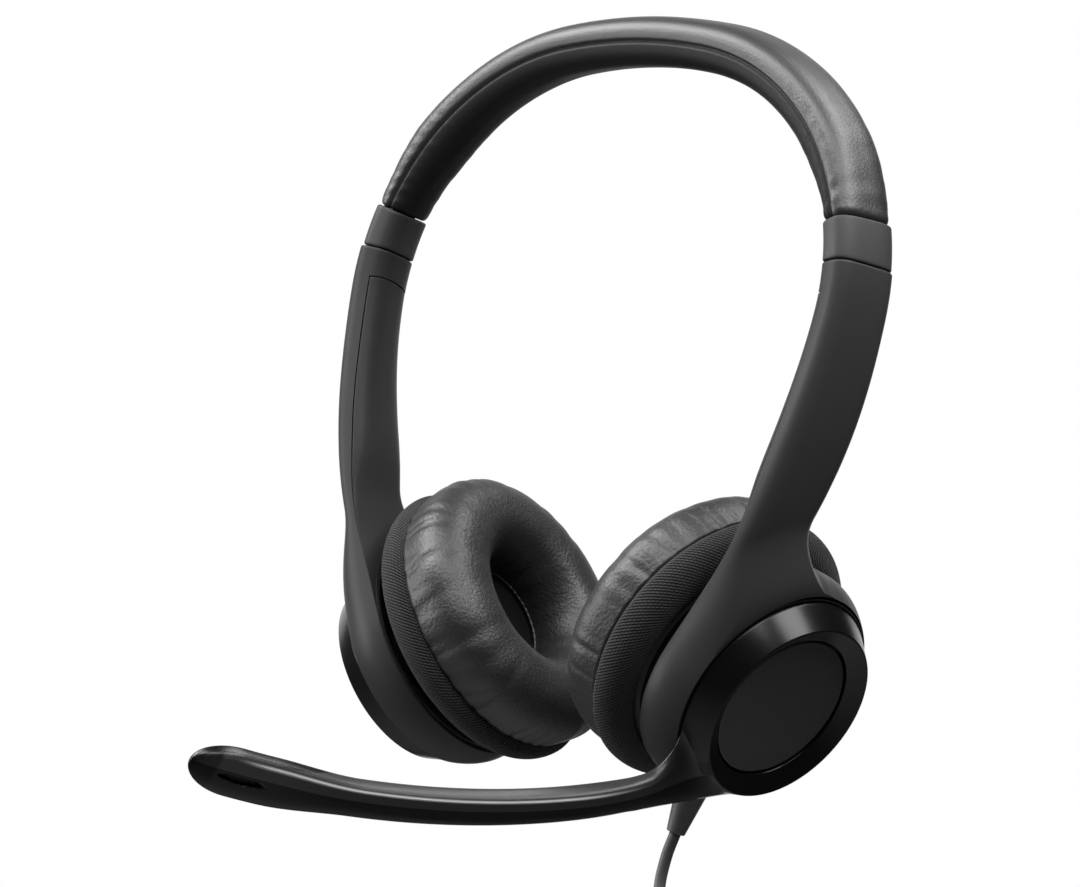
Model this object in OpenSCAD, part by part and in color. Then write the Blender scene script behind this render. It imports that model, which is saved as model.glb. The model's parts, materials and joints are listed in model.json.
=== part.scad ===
// Office headset: padded headband on a steel strip, two sliding arms that end
// in round bowls, two swivelling on-ear speakers, a turning microphone boom
// and a USB cord. Millimetres. The wearer faces -Y, +X is the wearer's left
// (boom) side, +Z is up, and the origin is where the pad sits on the head.

/* [Headband] */
// Radius of the flat crown stretch, on the strip's middle line
crown_r = 136; // [120:1:150]
// Half angle of the crown stretch, degrees
crown_a = 9.5; // [7:0.5:12]
// Radius of each side stretch
side_r = 62; // [58:1:66]
// Angle at which the side stretch goes over into the arm, degrees
side_a = 93; // [91.5:0.5:94]
// Lean of the band's section, back edge outward, degrees
lean = 15; // [10:1:18]
// Width of the padded band
pad_w = 16.6; // [15.4:0.1:20]
// Thickness of the padded band
pad_t = 12.4; // [11.6:0.1:15]
// Thickness of the leatherette wrap
wrap_t = 1; // [0.6:0.1:1.4]
// Fullness of the pad's section: 2 is an ellipse, higher is squarer
pad_full = 3; // [2.6:0.1:4]
// Length over which the pad thins out towards each collar
pad_taper = 22; // [16:1:30]
// Width of the steel strip
strip_w = 12; // [9:0.5:12.5]
// Thickness of the steel strip
strip_t = 1; // [0.6:0.1:1.2]
// Thickness of the plastic carrier on the strip
carrier_t = 2; // [1.4:0.1:2.2]
// Angle at which the collars start, degrees from the crown
collar_a = 73; // [72:0.5:74]
// Length of each collar
collar_l = 10.5; // [9:0.5:11]

/* [Arms] */
// Width of the arm where it meets the collar
arm_w0 = 17.6; // [16.8:0.1:19]
// Width of the arm lower down
arm_w1 = 19.6; // [18.8:0.1:21]
// Thickness of the arm
arm_t = 9; // [8.4:0.1:10]
// Wall of the arm's outer shell
arm_wall = 1.6; // [1.2:0.1:2]
// Radius of the arm's long inward curve
arm_r = 150; // [140:1:160]
// Length of the closed sleeve at the arm's top
sleeve_l = 7; // [6:0.5:8]
// How far each arm slides out
slide_l = 28; // [20:1:30]
// Length of the flare from the arm up to the ring
flare_l = 16; // [14:1:22]
// Radius of the fillet between the arm's back edge and the bowl
neck_fillet = 10; // [8:0.5:12]

/* [Cups] */
// Tilt of the cup axis below level, degrees
cup_tilt = 29.7; // [28:0.1:31]
// Distance of the cup axis behind the band's plane
cup_back = 21.5; // [20.5:0.1:22.5]
// Distance along the arm from its end to the cup axis
neck_reach = 19; // [18:0.5:20]
// Height of the arm's middle line above the cushion's seam at that end
neck_lift = 13.2; // [12.8:0.1:13.6]
// Radius of the bowl's rim
bowl_r = 30; // [29.5:0.1:31]
// Height of the bowl's rim above the cushion's seam
rim_h = 13.4; // [13:0.1:13.8]
// Height of the bowl's outer face, which the ring lies on
face_h = 23.8; // [23.4:0.1:24.2]
// Wall of the bowl
bowl_wall = 1.8; // [1.4:0.1:2]
// Outer radius of the glossy ring
ring_r = 26.8; // [26:0.1:27]
// Radius of the ring's crest
crest_r = 23.2; // [22.4:0.1:24]
// Height of the ring's crest above the bowl's face
crest_h = 8.1; // [7.4:0.1:8.8]
// Radius of the middle disc
disc_r = 18.4; // [17:0.1:19]
// Height of the disc's edge above the bowl's face
disc_h = 5; // [4.4:0.1:5.6]

/* [Ear cushions] */
// Radius of the seam between leatherette and knit
seam_r = 34; // [33.4:0.1:34.6]
// Largest radius of the leatherette ring
cushion_r = 36.2; // [35.6:0.1:37]
// Depth of the leatherette ring over the seam
cushion_d = 15.4; // [13:0.2:17]
// Radius of the hole for the ear
hole_r = 13.5; // [12.5:0.1:14.5]
// Gathers sewn into the leatherette's edge
gathers = 22; // [14:2:26]
// Depth of the gathers
gather_d = 0.45; // [0:0.05:0.7]
// Largest radius of the knit side
knit_r = 36.3; // [35.6:0.1:37]
// Depth of the knit side below the seam
knit_d = 9.2; // [8.4:0.1:9.6]

/* [Boom] */
// Half height of the boom's section
boom_b = 4.9; // [4.2:0.1:5.2]
// Half thickness of the boom's section
boom_h = 3.2; // [2.6:0.1:3.6]
// Half height of the microphone paddle
paddle_b = 6.2; // [5.6:0.1:6.8]
// Radius of the hub that the ring turns on
hub_r = 12; // [10:0.5:13]
// Running clearance of the ring on its hub
run_gap = 0.06; // [0.03:0.01:0.1]

/* [Cord] */
// Diameter of the cord
cord_d = 2.9; // [2.5:0.1:3]
// Turns in each layer of the hank
hank_turns = 2.5; // [1.5:1:2.5]
// Layers of the hank
hank_layers = 4; // [2:2:4]
// Straight run of the hank's loops
hank_run = 44; // [40:1:60]
// Radius of the innermost loop's ends
hank_r0 = 9; // [8:0.5:12]

/* [Hidden] */
$fn = 96;

// Clearance between pieces that are fixed together
fit = 0.1;
// Clearance between pieces that move past each other
slip = 0.3;

// Arcs of the band's middle line in the XZ plane, angles from +Z towards +X
crown_cz = pad_t / 2 - crown_r;
side_cx = (crown_r - side_r) * sin(crown_a);
side_cz = crown_cz + (crown_r - side_r) * cos(crown_a);
arm_cx = side_cx + (side_r - arm_r) * sin(side_a);
arm_cz = side_cz + (side_r - arm_r) * cos(side_a);
deg_per_mm = 180 / (PI * side_r);
collar_b = collar_a + collar_l * deg_per_mm;
sleeve_a = collar_b + slip * deg_per_mm;
sleeve_b = sleeve_a + sleeve_l * deg_per_mm;

// The strip's straight end, along which the arm slides
slide_a = 95.7;
grip_l = 10;
strip_tail = slide_l + grip_l - (slide_a - collar_b) / deg_per_mm;
slide_x = side_cx + side_r * sin(slide_a);
slide_z = side_cz + side_r * cos(slide_a);
len_crown = crown_r * crown_a * PI / 180;
len_slide = len_crown + (slide_a - crown_a) / deg_per_mm;

// The arm's middle line by length: side arc, arm arc, then straight on
end_a = 90 + cup_tilt;
len_side = (side_a - sleeve_b) / deg_per_mm;
len_arm = len_side + (end_a - side_a) * PI / 180 * arm_r;
function arm_angle(l) =
    l < len_side ? sleeve_b + l * deg_per_mm
    : min(end_a, side_a + (l - len_side) * 180 / (PI * arm_r));
function arm_mid(l) =
    let (a = arm_angle(l), over = max(0, l - len_arm))
    l < len_side ? [side_cx + side_r * sin(a), side_cz + side_r * cos(a)]
    : [arm_cx + arm_r * sin(a) + over * cos(a), arm_cz + arm_r * cos(a) - over * sin(a)];

// Place of the cup: its seam's centre
arm_end = arm_mid(len_arm);
cup_x = arm_end[0] - neck_reach * sin(cup_tilt) - neck_lift * cos(cup_tilt);
cup_z = arm_end[1] - neck_reach * cos(cup_tilt) + neck_lift * sin(cup_tilt);

recess_r = ring_r + slip;
bowl_lip = 0.9;
function ease(t) = let (c = min(1, max(0, t))) c * c * (3 - 2 * c);
function mix(a, b, t) = a + (b - a) * t;

// Sizes of the arm's section along its length
function above_axis(l) = neck_reach + len_arm - l;
function half_w(l) = mix(arm_w0, arm_w1, ease(l / 40)) / 2;
fillet_y = arm_w1 / 2 + neck_fillet;
fillet_v = sqrt(pow(bowl_r + neck_fillet, 2) - pow(fillet_y - cup_back, 2));
fillet_end = fillet_v * bowl_r / (bowl_r + neck_fillet) + 0.3;
function back_edge(l) =
    let (d = fillet_v - max(fillet_end, above_axis(l)))
    half_w(l) + (d <= 0 ? 0 : neck_fillet - sqrt(pow(neck_fillet, 2) - d * d));
// Front edge: straight down to the bowl's side, then into it
function front_edge(l) =
    let (in = max(0, dive_v - above_axis(l)) / dive_v)
    -mix(half_w(l), bowl_r - cup_back + 0.4, ease((l - 45) / 40)) + dive_d * in * in;
// Outer face: flat along the arm, rising in a flare round the ring
function outer_edge(l, p) =
    let (d = norm([p - cup_back, above_axis(l)]) - recess_r - 0.5)
    arm_t / 2 + (face_h + bowl_lip - neck_lift - arm_t / 2) * (1 - ease(d / flare_l));
function inner_edge(l) = mix(lip_up - arm_t / 2, rim_h - neck_lift + 0.2, ease((l - 40) / 30));
function arm_lean(l) = lean * (1 - ease((l - 10) / 60));

// A point of the arm's section: p across, q outward
function arm_point(l, p, q) =
    let (a = arm_angle(l), m = arm_mid(l), w = arm_lean(l),
        y = p * cos(w) - q * sin(w), n = p * sin(w) + q * cos(w))
    [m[0] + n * sin(a), y, m[1] + n * cos(a)];

dive_v = 14;
dive_d = 4;
lip_up = 2.2;
corner_p = 5;
corner_q = 3.6;
crown = 0.3;
// A quarter of an oval corner, in four points
function bend(p, q, t, a0, a1) =
    [for (i = [0:3]) let (a = mix(a0, a1, i / 3)) [p + (corner_p - t) * cos(a), q + (corner_q - t) * sin(a)]];
function channel_side(l, t) =
    let (f = front_edge(l), b = back_edge(l), p0 = f + corner_p, p1 = b - corner_p)
    concat([[f + t, inner_edge(l)]], bend(p0, outer_edge(l, p0) - corner_q, t, 180, 90),
        [for (k = [1:3]) let (p = mix(p0, p1, k / 4))
            [p, outer_edge(l, p) - t + crown * (1 - pow(k / 2 - 1, 2))]],
        bend(p1, outer_edge(l, p1) - corner_q, t, 90, 0), [[b - t, inner_edge(l)]]);

// Triangles over rings of equal length, closed round each ring
function sides(rings, m) = [
    for (i = [0:rings - 2]) for (j = [0:m - 1]) let (k = (j + 1) % m)
        each [[i * m + j, i * m + k, (i + 1) * m + j], [i * m + k, (i + 1) * m + k, (i + 1) * m + j]]];
function strip_cap(at, k, flip) = [
    for (j = [0:k - 2]) let (a = at + j, b = at + j + 1, c = at + 2 * k - 2 - j, d = at + 2 * k - 1 - j)
        each flip ? [[a, c, b], [a, d, c]] : [[a, b, c], [a, c, d]]];
function fan_cap(at, m, flip) = [
    for (j = [1:m - 2]) flip ? [at, at + j + 1, at + j] : [at, at + j, at + j + 1]];

// Place on the band by signed length from the crown: p across, q outward
function band_angle(s) =
    let (d = abs(s)) d < len_crown ? d * 180 / (PI * crown_r)
    : min(slide_a, crown_a + (d - len_crown) * deg_per_mm);
function band_point(s, p, q) =
    let (a = band_angle(s), top = abs(s) < len_crown, over = max(0, abs(s) - len_slide),
        r = (top ? crown_r : side_r) + p * sin(lean) + q * cos(lean),
        x = (top ? 0 : side_cx) + r * sin(a) + over * cos(a),
        z = (top ? crown_cz : side_cz) + r * cos(a) - over * sin(a))
    [sign(s) * x, p * cos(lean) - q * sin(lean), z];

// A section, given as a function of the place, carried along the band to a length on each side
band_step = 6;
module band(to, section, channel = false) {
    k = ceil(to / band_step) - 1;
    places = concat([-to], [for (i = [-k:k]) i * band_step], [to]);
    rings = [for (s = places) [for (c = section(s)) band_point(s, c[0], c[1])]];
    m = len(rings[0]);
    last = (len(rings) - 1) * m;
    polyhedron([for (r = rings) each r], concat(sides(len(rings), m),
        channel ? strip_cap(0, m / 2, true) : fan_cap(0, m, true),
        channel ? strip_cap(last, m / 2, false) : fan_cap(last, m, false)));
}
function flat_section(t, w, q) =
    [[-w / 2, q - t / 2], [-w / 2, q + t / 2], [w / 2, q + t / 2], [w / 2, q - t / 2]];

// Section with rounded corners: x through the thickness, y across the width
module rounded(t, w, r) {
    square([t - 2 * r, w], center = true);
    square([t, w - 2 * r], center = true);
    for (x = [-1, 1]) for (y = [-1, 1])
        translate([x * (t / 2 - r), y * (w / 2 - r)]) circle(r);
}

// A leaning section carried round an arc of the band
module arc(cx, cz, r, a0, a1)
    translate([cx, 0, cz]) rotate([0, -90, -90]) rotate([0, 0, a0])
        rotate_extrude(angle = a1 - a0, $fn = 180)
            translate([r, 0]) rotate(-lean) children();
module side_arc(a0, a1) arc(side_cx, side_cz, side_r, a0, a1) children();
// Frame of the strip's straight end: x outward, y across, z up the strip
module at_slide()
    translate([slide_x, 0, slide_z]) rotate([0, slide_a - 90, 0]) rotate([0, 0, -lean]) children();
// Frame of the cup: x back, y up the cup, z outward from the seam
module at_cup()
    translate([cup_x, cup_back, cup_z]) rotate([0, cup_tilt, 0]) rotate([90, 0, 90]) children();
module turned(points) rotate_extrude($fn = 180) polygon(points);

// Headband

strip_holes = 5;
strip_hole_r = 1.1;
hole_end = 3;
module headband_spring() color("silver") difference() {
    band(len_slide + strip_tail, function (s) flat_section(strip_t, strip_w, 0));
    for (side = [0, 1]) mirror([side, 0, 0]) at_slide() for (i = [1:strip_holes])
        translate([0, 0, -i * (strip_tail - hole_end) / strip_holes]) rotate([0, 90, 0])
            cylinder(r = strip_hole_r, h = 4 * strip_t, center = true, $fn = 32);
}

carrier_w = strip_w;
carrier_q = strip_t / 2 + carrier_t / 2;
carrier_in = 3;
len_collar = len_crown + (collar_a - crown_a) / deg_per_mm;
module headband_carrier() color("dimgray")
    band(len_collar + carrier_in, function (s) flat_section(carrier_t, carrier_w, carrier_q));

// Pad: a full oval that thins out towards the collars; one side of it, from front to back, f0 short of half way
len_pad = len_collar - slip;
pad_layer = 0.9;
wadding_q = strip_t / 2 + carrier_t + fit;
pad_end_t = 2 * (wadding_q + wrap_t + pad_layer);
pad_n = 8;
function pad_half_t(s) = mix(pad_t, pad_end_t, ease((abs(s) - len_pad + pad_taper) / pad_taper)) / 2;
function power(x, e) = sign(x) * pow(abs(x), e);
function pad_side(w, t, f0, side) = [for (j = [0:pad_n]) let (f = mix(f0, 180 - f0, j / pad_n))
    [-side * w * power(cos(f), 2 / pad_full), side * t * power(sin(f), 2 / pad_full)]];
function pad_core(s, q, side) =
    let (t = pad_half_t(s) - wrap_t - fit)
    pad_side(pad_w / 2 - wrap_t - fit, t, asin(pow(q / t, pad_full / 2)), side);
foam_q = strip_t / 2 + fit;
module headband_foam() color("gray") band(len_pad, function (s) pad_core(s, foam_q, -1));
module headband_wadding() color("gray") band(len_pad, function (s) pad_core(s, wadding_q, 1));

function wrap_side(s, side) =
    let (n = pad_side(pad_w / 2 - wrap_t, pad_half_t(s) - wrap_t, 0, side))
    concat(pad_side(pad_w / 2, pad_half_t(s), 0, side), [for (j = [pad_n:-1:0]) n[j]]);
module headband_wrap_outer() color("#1d1d1f") band(len_pad, function (s) wrap_side(s, 1), true);
module headband_wrap_inner() color("#141415") band(len_pad, function (s) wrap_side(s, -1), true);

// Oval section of the collars and sleeves
collar_full = 2.8;
collar_n = 10;
module oval(t, w) polygon([for (j = [0:4 * collar_n - 1]) let (f = 90 * j / collar_n)
    [t / 2 * power(cos(f), 2 / collar_full), w / 2 * power(sin(f), 2 / collar_full)]]);

// Collar: closes the pad's end and holds the strip
module collar() color("#232324") difference() {
    side_arc(collar_a, collar_b) oval(arm_t, arm_w0);
    side_arc(collar_a - 1, collar_b + 1) square([strip_t + 2 * fit, strip_w + 2 * fit], center = true);
    side_arc(collar_a - 1, collar_a + 3.5 * deg_per_mm)
        translate([carrier_q + fit / 2, 0]) square([carrier_t + 3 * fit, carrier_w + 2 * fit], center = true);
}
module collar_left() collar();
module collar_right() mirror([1, 0, 0]) collar();

// Arms

slot_in = (slide_a - sleeve_a) * (slide_a - sleeve_a) * PI / 360 * PI / 180 * side_r;
module sleeve() color("#1b1b1c") difference() {
    side_arc(sleeve_a, sleeve_b) oval(arm_t, arm_w0);
    at_slide() translate([-slot_in - strip_t / 2 - slip, -strip_w / 2 - slip - slot_in * sin(lean), -30])
        cube([slot_in + strip_t + 2 * slip, strip_w + 2 * slip + slot_in * sin(lean), 60]);
}
module sleeve_left() sleeve();
module sleeve_right() mirror([1, 0, 0]) sleeve();

// Stations along the arm, closer together in the flare
stations = concat([for (i = [0:8]) i * 5], [for (i = [1:18]) mix(40, len_arm + neck_reach - 6, i / 18)]);
channel_k = len(channel_side(0, 0));
module arm_channel() {
    rings = [for (l = stations) let (o = channel_side(l, 0), n = channel_side(l, arm_wall))
        [for (j = [0:2 * channel_k - 1]) let (c = j < channel_k ? o[j] : n[2 * channel_k - 1 - j])
            arm_point(l, c[0], c[1])]];
    m = 2 * channel_k;
    polyhedron([for (r = rings) each r],
        concat(sides(len(rings), m), strip_cap(0, channel_k, true),
            strip_cap((len(rings) - 1) * m, channel_k, false)));
}

// Bowl: profile as radius and height over the seam
bulge = 0.6;
floor_h = face_h - bowl_wall;
bowl_steps = 8;
bowl_outer = [for (i = [0:bowl_steps]) let (t = i / bowl_steps)
    [mix(bowl_r, recess_r + 0.5, pow(t, 2.2)) + bulge * sin(180 * t), mix(rim_h, face_h + bowl_lip, t)]];
bowl_inner = [for (i = [0:bowl_steps]) let (t = i / bowl_steps)
    [mix(bowl_r, recess_r + 0.5, pow(t, 2.2)) + bulge * sin(180 * t) - bowl_wall, mix(rim_h, floor_h, t)]];
relief_u = 1.5;
relief_h = 18.5;
relief_hole = 3.4;
module arm_shell() {
    difference() {
        union() {
            arm_channel();
            at_cup() turned(concat([[0, rim_h]], bowl_outer, [[0, face_h + bowl_lip]]));
        }
        at_cup() {
            turned(concat([[0, rim_h - 12]], [[bowl_r - bowl_wall, rim_h - 12]], bowl_inner, [[0, floor_h]]));
            translate([0, 0, face_h]) cylinder(r = recess_r, h = 10);
            for (a = [0:180:180]) rotate(a) translate([0, base_screw_r, floor_h - 1])
                cylinder(r = 1.1, h = 10, $fn = 32);
        }
    }
}
module arm_shell_left() color("#1b1b1c") difference() {
    arm_shell();
    along(relief_from, relief_dir) translate([0, 0, -4]) cylinder(r = relief_hole, h = 16, $fn = 48);
}
module arm_shell_right() color("#1b1b1c") mirror([1, 0, 0]) arm_shell();

// Inner cover: a bevelled plate that closes the channel on the head's side and stops short of
// the bowl, clear of the speaker's swing
cover_q = lip_up - arm_t / 2 - fit;
cover_in = 0.3;
cover_clear = 4;
cover_low = 1.2;
cover_end = len_arm + neck_reach - bowl_r - cover_clear;
cover_stations = [for (i = [0:14]) mix(slip, cover_end, i / 14)];
module arm_cover() color("#161617") {
    rings = [for (l = cover_stations)
        let (f = front_edge(l) + cover_in, b = back_edge(l) - cover_in, q1 = inner_edge(l) - fit,
            q0 = mix(-arm_t / 2, rim_h - neck_lift - cover_low, ease((l - 40) / 30)), bevel = 1.9 * (q1 - q0))
        [for (c = [[f + bevel, q0], [f, q1], [b, q1], [b - bevel, q0]]) arm_point(l, c[0], c[1])]];
    polyhedron([for (r = rings) each r],
        concat(sides(len(rings), 4), fan_cap(0, 4, true), fan_cap((len(rings) - 1) * 4, 4, false)));
}
module arm_cover_left() arm_cover();
module arm_cover_right() mirror([1, 0, 0]) arm_cover();

// Detent: a leaf that stands on the cover and bears on the strip over the whole slide,
// set back by as much as the strip still bends where it leaves the sleeve
detent_w = 6;
detent_l = 12;
detent_foot = 4;
detent_top = (slide_a - sleeve_b) / deg_per_mm - 1;
leaf_t = 0.6;
leaf_q = -strip_t / 2 - slip - detent_top * detent_top / (2 * side_r);
foot_q = cover_q + fit;
module detent() color("gainsboro") at_slide() translate([0, -detent_w / 2, detent_top - detent_l]) {
    translate([leaf_q - leaf_t, 0, 0]) cube([leaf_t, detent_w, detent_l]);
    translate([foot_q, 0, 0]) cube([leaf_q - leaf_t / 2 - foot_q, detent_w, detent_foot]);
}
module detent_left() detent();
module detent_right() mirror([1, 0, 0]) detent();

// Speaker pivot: a cross between the bowl and the speaker

pivot_h = 15.6;
cross_s = 8;
trunnion_r = 1.5;
trunnion_l = 3;
lug_gap = 0.3;
lug_t = 3;
lug_w = 6;
base_t = 1.8;
base_r = 13;
base_screw_r = 10;
base_top = floor_h - base_t;
module pivot_base() color("#2a2a2b") at_cup() difference() {
    union() {
        translate([0, 0, base_top]) cylinder(r = base_r, h = base_t);
        for (s = [-1, 1])
            translate([s * (cross_s / 2 + lug_gap + lug_t / 2), 0, (pivot_h - 2.8 + base_top) / 2])
            cube([lug_t, lug_w, base_top - pivot_h + 2.8 + 0.02], center = true);
    }
    translate([0, 0, pivot_h]) rotate([0, 90, 0])
        cylinder(r = trunnion_r + run_gap, h = 40, center = true, $fn = 48);
    for (a = [0:180:180]) rotate(a) translate([0, base_screw_r, base_top - 1])
        cylinder(r = 1.1, h = 10, $fn = 32);
}
module pivot_base_left() pivot_base();
module pivot_base_right() mirror([1, 0, 0]) pivot_base();

screw_r = 1;
screw_l = 3.2;
module pivot_screws() color("gainsboro") at_cup()
    for (a = [0:180:180]) rotate(a) translate([0, base_screw_r, base_top]) {
        translate([0, 0, -1.2]) cylinder(r = 1.9, h = 1.2, $fn = 32);
        cylinder(r = screw_r, h = screw_l, $fn = 32);
    }
module pivot_screws_left() pivot_screws();
module pivot_screws_right() mirror([1, 0, 0]) pivot_screws();

module pivot_cross() color("whitesmoke") at_cup() translate([0, 0, pivot_h]) {
    cube([cross_s, cross_s, 5], center = true);
    for (r = [[0, 90, 0], [90, 0, 0]]) rotate(r)
        cylinder(r = trunnion_r, h = cross_s + 2 * trunnion_l, center = true, $fn = 48);
}
module pivot_cross_left() pivot_cross();
module pivot_cross_right() mirror([1, 0, 0]) pivot_cross();

// Speakers

baffle_h = 0.3;
baffle_t = 1.2;
house_r = 28.8;
house_wall = 1.8;
house_top = baffle_h + baffle_t;
house_back = knit_d + 0.5;
module housing() color("#202021") at_cup() {
    turned([[0, house_back - house_wall], [house_r - house_wall, house_back - house_wall],
        [house_r - house_wall, house_top], [house_r, house_top], [house_r, house_back - 1.4],
        [house_r - 1.4, house_back], [0, house_back]]);
    difference() {
        for (s = [-1, 1])
            translate([0, s * (cross_s / 2 + lug_gap + lug_t / 2), (house_back + pivot_h + 2.4) / 2])
            cube([lug_w, lug_t, pivot_h + 2.4 - house_back + 0.02], center = true);
        translate([0, 0, pivot_h]) rotate([90, 0, 0])
            cylinder(r = trunnion_r + run_gap, h = 40, center = true, $fn = 48);
    }
}
module housing_left() housing();
module housing_right() mirror([1, 0, 0]) housing();

baffle_r = seam_r - 3;
driver_r = 19;
port_r = 1.3;
module baffle() color("#1a1a1b") at_cup() difference() {
    translate([0, 0, baffle_h]) cylinder(r = baffle_r, h = baffle_t);
    for (ring = [[0, 1], [4.2, 6], [8.4, 12]]) for (i = [1:ring[1]])
        rotate(360 * i / ring[1]) translate([ring[0], 0, 0]) cylinder(r = port_r, h = 5, $fn = 24);
}
module baffle_left() baffle();
module baffle_right() mirror([1, 0, 0]) baffle();

frame_d = 2.6;
module driver_frame() color("darkslategray") at_cup()
    turned([[9.5, house_top], [driver_r, house_top], [driver_r, house_top + 1], [13, house_top + frame_d],
        [9.5, house_top + frame_d]]);
module driver_frame_left() driver_frame();
module driver_frame_right() mirror([1, 0, 0]) driver_frame();

magnet_r = 9.4;
module driver_magnet() color("lightslategray") at_cup()
    translate([0, 0, house_top + 1.2]) cylinder(r = magnet_r, h = house_back - house_wall - house_top - 1.3);
module driver_magnet_left() driver_magnet();
module driver_magnet_right() mirror([1, 0, 0]) driver_magnet();

module diaphragm() color("khaki") at_cup() translate([0, 0, house_top + 0.4]) cylinder(r = magnet_r, h = 0.4);
module diaphragm_left() diaphragm();
module diaphragm_right() mirror([1, 0, 0]) diaphragm();

cloth_t = 0.6;
module ear_cloth() color("#101011") at_cup() translate([0, 0, baffle_h - cloth_t])
    cylinder(r = hole_r - 0.4, h = cloth_t);
module ear_cloth_left() ear_cloth();
module ear_cloth_right() mirror([1, 0, 0]) ear_cloth();

// Knit side: swells out from the seam to its belly, then rounds off in a quarter oval behind the housing
knit_steps = 10;
knit_in = house_r + slip;
knit_seam = house_top - 1.1;
knit_lap = 0.5;
knit_belly = 2.8;
belly_step = 3;
knit_profile = [for (i = [0:knit_steps])
    let (up = 90 * i / belly_step, over = 90 * (i - belly_step) / (knit_steps - belly_step))
    i < belly_step ? [mix(seam_r, knit_r, sin(up)), mix(knit_seam, knit_belly, i / belly_step)]
    : [mix(knit_in + knit_lap, knit_r, cos(over)), mix(knit_belly, knit_d, sin(over))]];
module knit() color("#262627") at_cup()
    turned(concat([[knit_in, knit_d]], [[knit_in, house_top + slip], [baffle_r + slip, house_top + slip],
        [baffle_r + slip, knit_seam]], knit_profile));
module knit_left() knit();
module knit_right() mirror([1, 0, 0]) knit();

// Leatherette ring: a crowned ring with gathers along its sewn outer edge
cushion_mid = 23.5;
pad_round = 0.8;
cushion_n = 14;
function cushion_point(i, a) =
    let (f = 180 * i / (cushion_n - 1),
        c = sign(cos(f)) * pow(abs(cos(f)), pad_round), s = pow(sin(f), pad_round),
        swell = i == 0 ? seam_r - cushion_mid : cushion_r - cushion_mid,
        pleat = gather_d * (cos(gathers * a) - 1) * (f < 75 ? sin(f * 2.4) : 0),
        r = cushion_mid + (c > 0 ? swell * c : (cushion_mid - hole_r) * c) + pleat)
    [r * cos(a), r * sin(a), -cushion_d * s];
module cushion() color("#19191a") at_cup() {
    n = 4 * gathers;
    rings = [for (k = [0:n - 1]) [for (i = [0:cushion_n - 1]) cushion_point(i, 360 * k / n)]];
    m = cushion_n;
    faces = [for (k = [0:n - 1]) for (i = [0:m - 1])
        let (a = k * m + i, b = k * m + (i + 1) % m,
            c = ((k + 1) % n) * m + i, d = ((k + 1) % n) * m + (i + 1) % m)
        each [[a, c, b], [b, c, d]]];
    polyhedron([for (r = rings) each r], faces);
}
module cushion_left() cushion();
module cushion_right() mirror([1, 0, 0]) cushion();

// Outer face of the cups

washer_t = 0.5;
ring_base = face_h + washer_t + 0.1;
web_t = 1.8;
web_top = ring_base + web_t;
disc_gap = 0.5;
ring_edge = 1.5;
crest = face_h + crest_h;
disc_top = face_h + disc_h;
// Outer cone up to the crest, then a funnel down to the disc
module ring_body(bore, base) turned([[bore, base], [ring_r - 0.3, base], [ring_r, base + 0.3],
    [ring_r, face_h + ring_edge], [crest_r + 0.2, crest - 0.1], [crest_r - 0.2, crest - 0.1],
    [disc_r + disc_gap, disc_top + 0.3], [disc_r + disc_gap, web_top], [bore, web_top]]);
// Wedge notch in the ring's funnel
module ring_notch() rotate(52) translate([disc_r, -0.9, disc_top - 0.8]) cube([2.6, 1.8, 8]);

cap_pin = 6;
cap_base = web_top + 0.3;
cap_top = disc_top;
cap_dome = 0.5;
module cap() color("#2c2c2d") at_cup()
    turned([[0, face_h + 0.3], [cap_pin, face_h + 0.3], [cap_pin, cap_base + 0.5],
        [hub_r + 0.8, cap_base + 0.5],
        [hub_r + 0.8, cap_base], [disc_r - 0.6, cap_base], [disc_r, cap_base + 0.6], [disc_r, cap_top - 0.5],
        [disc_r - 0.4, cap_top], [disc_r * 0.66, cap_top + cap_dome * 0.56],
        [disc_r * 0.33, cap_top + cap_dome * 0.89],
        [0, cap_top + cap_dome]]);
module cap_left() cap();
module cap_right() mirror([1, 0, 0]) cap();
module ring_right() color("#0c0c0d") mirror([1, 0, 0]) at_cup() ring_body(cap_pin + fit, face_h);

// Boom, on the left cup

module boom_hub() color("#303031") at_cup()
    turned([[cap_pin + fit, face_h], [hub_r + 1.5, face_h], [hub_r + 1.5, face_h + washer_t - 0.1],
        [hub_r, face_h + washer_t - 0.1], [hub_r, web_top + 0.2], [cap_pin + fit, web_top + 0.2]]);
module boom_washer() color("silver") at_cup()
    turned([[hub_r + 2, face_h], [hub_r + 7, face_h], [hub_r + 7, face_h + washer_t],
        [hub_r + 2, face_h + washer_t]]);

// The boom's middle line: one cubic curve from the ring to the paddle's tip
boom_p0 = [-6, -20, 27.2];
boom_p1 = [-27, -38.5, 27.6];
boom_p2 = [-85, -59.5, 21.5];
boom_p3 = [-137.5, -64, 4];
boom_root = 0.1;
boom_root_b = 11;
function boom_mid(t) = pow(1 - t, 3) * boom_p0 + 3 * t * pow(1 - t, 2) * boom_p1
    + 3 * t * t * (1 - t) * boom_p2 + pow(t, 3) * boom_p3;
function unit(v) = v / norm(v);
function boom_dir(t) = unit(boom_mid(t + 0.001) - boom_mid(t - 0.001));
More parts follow.
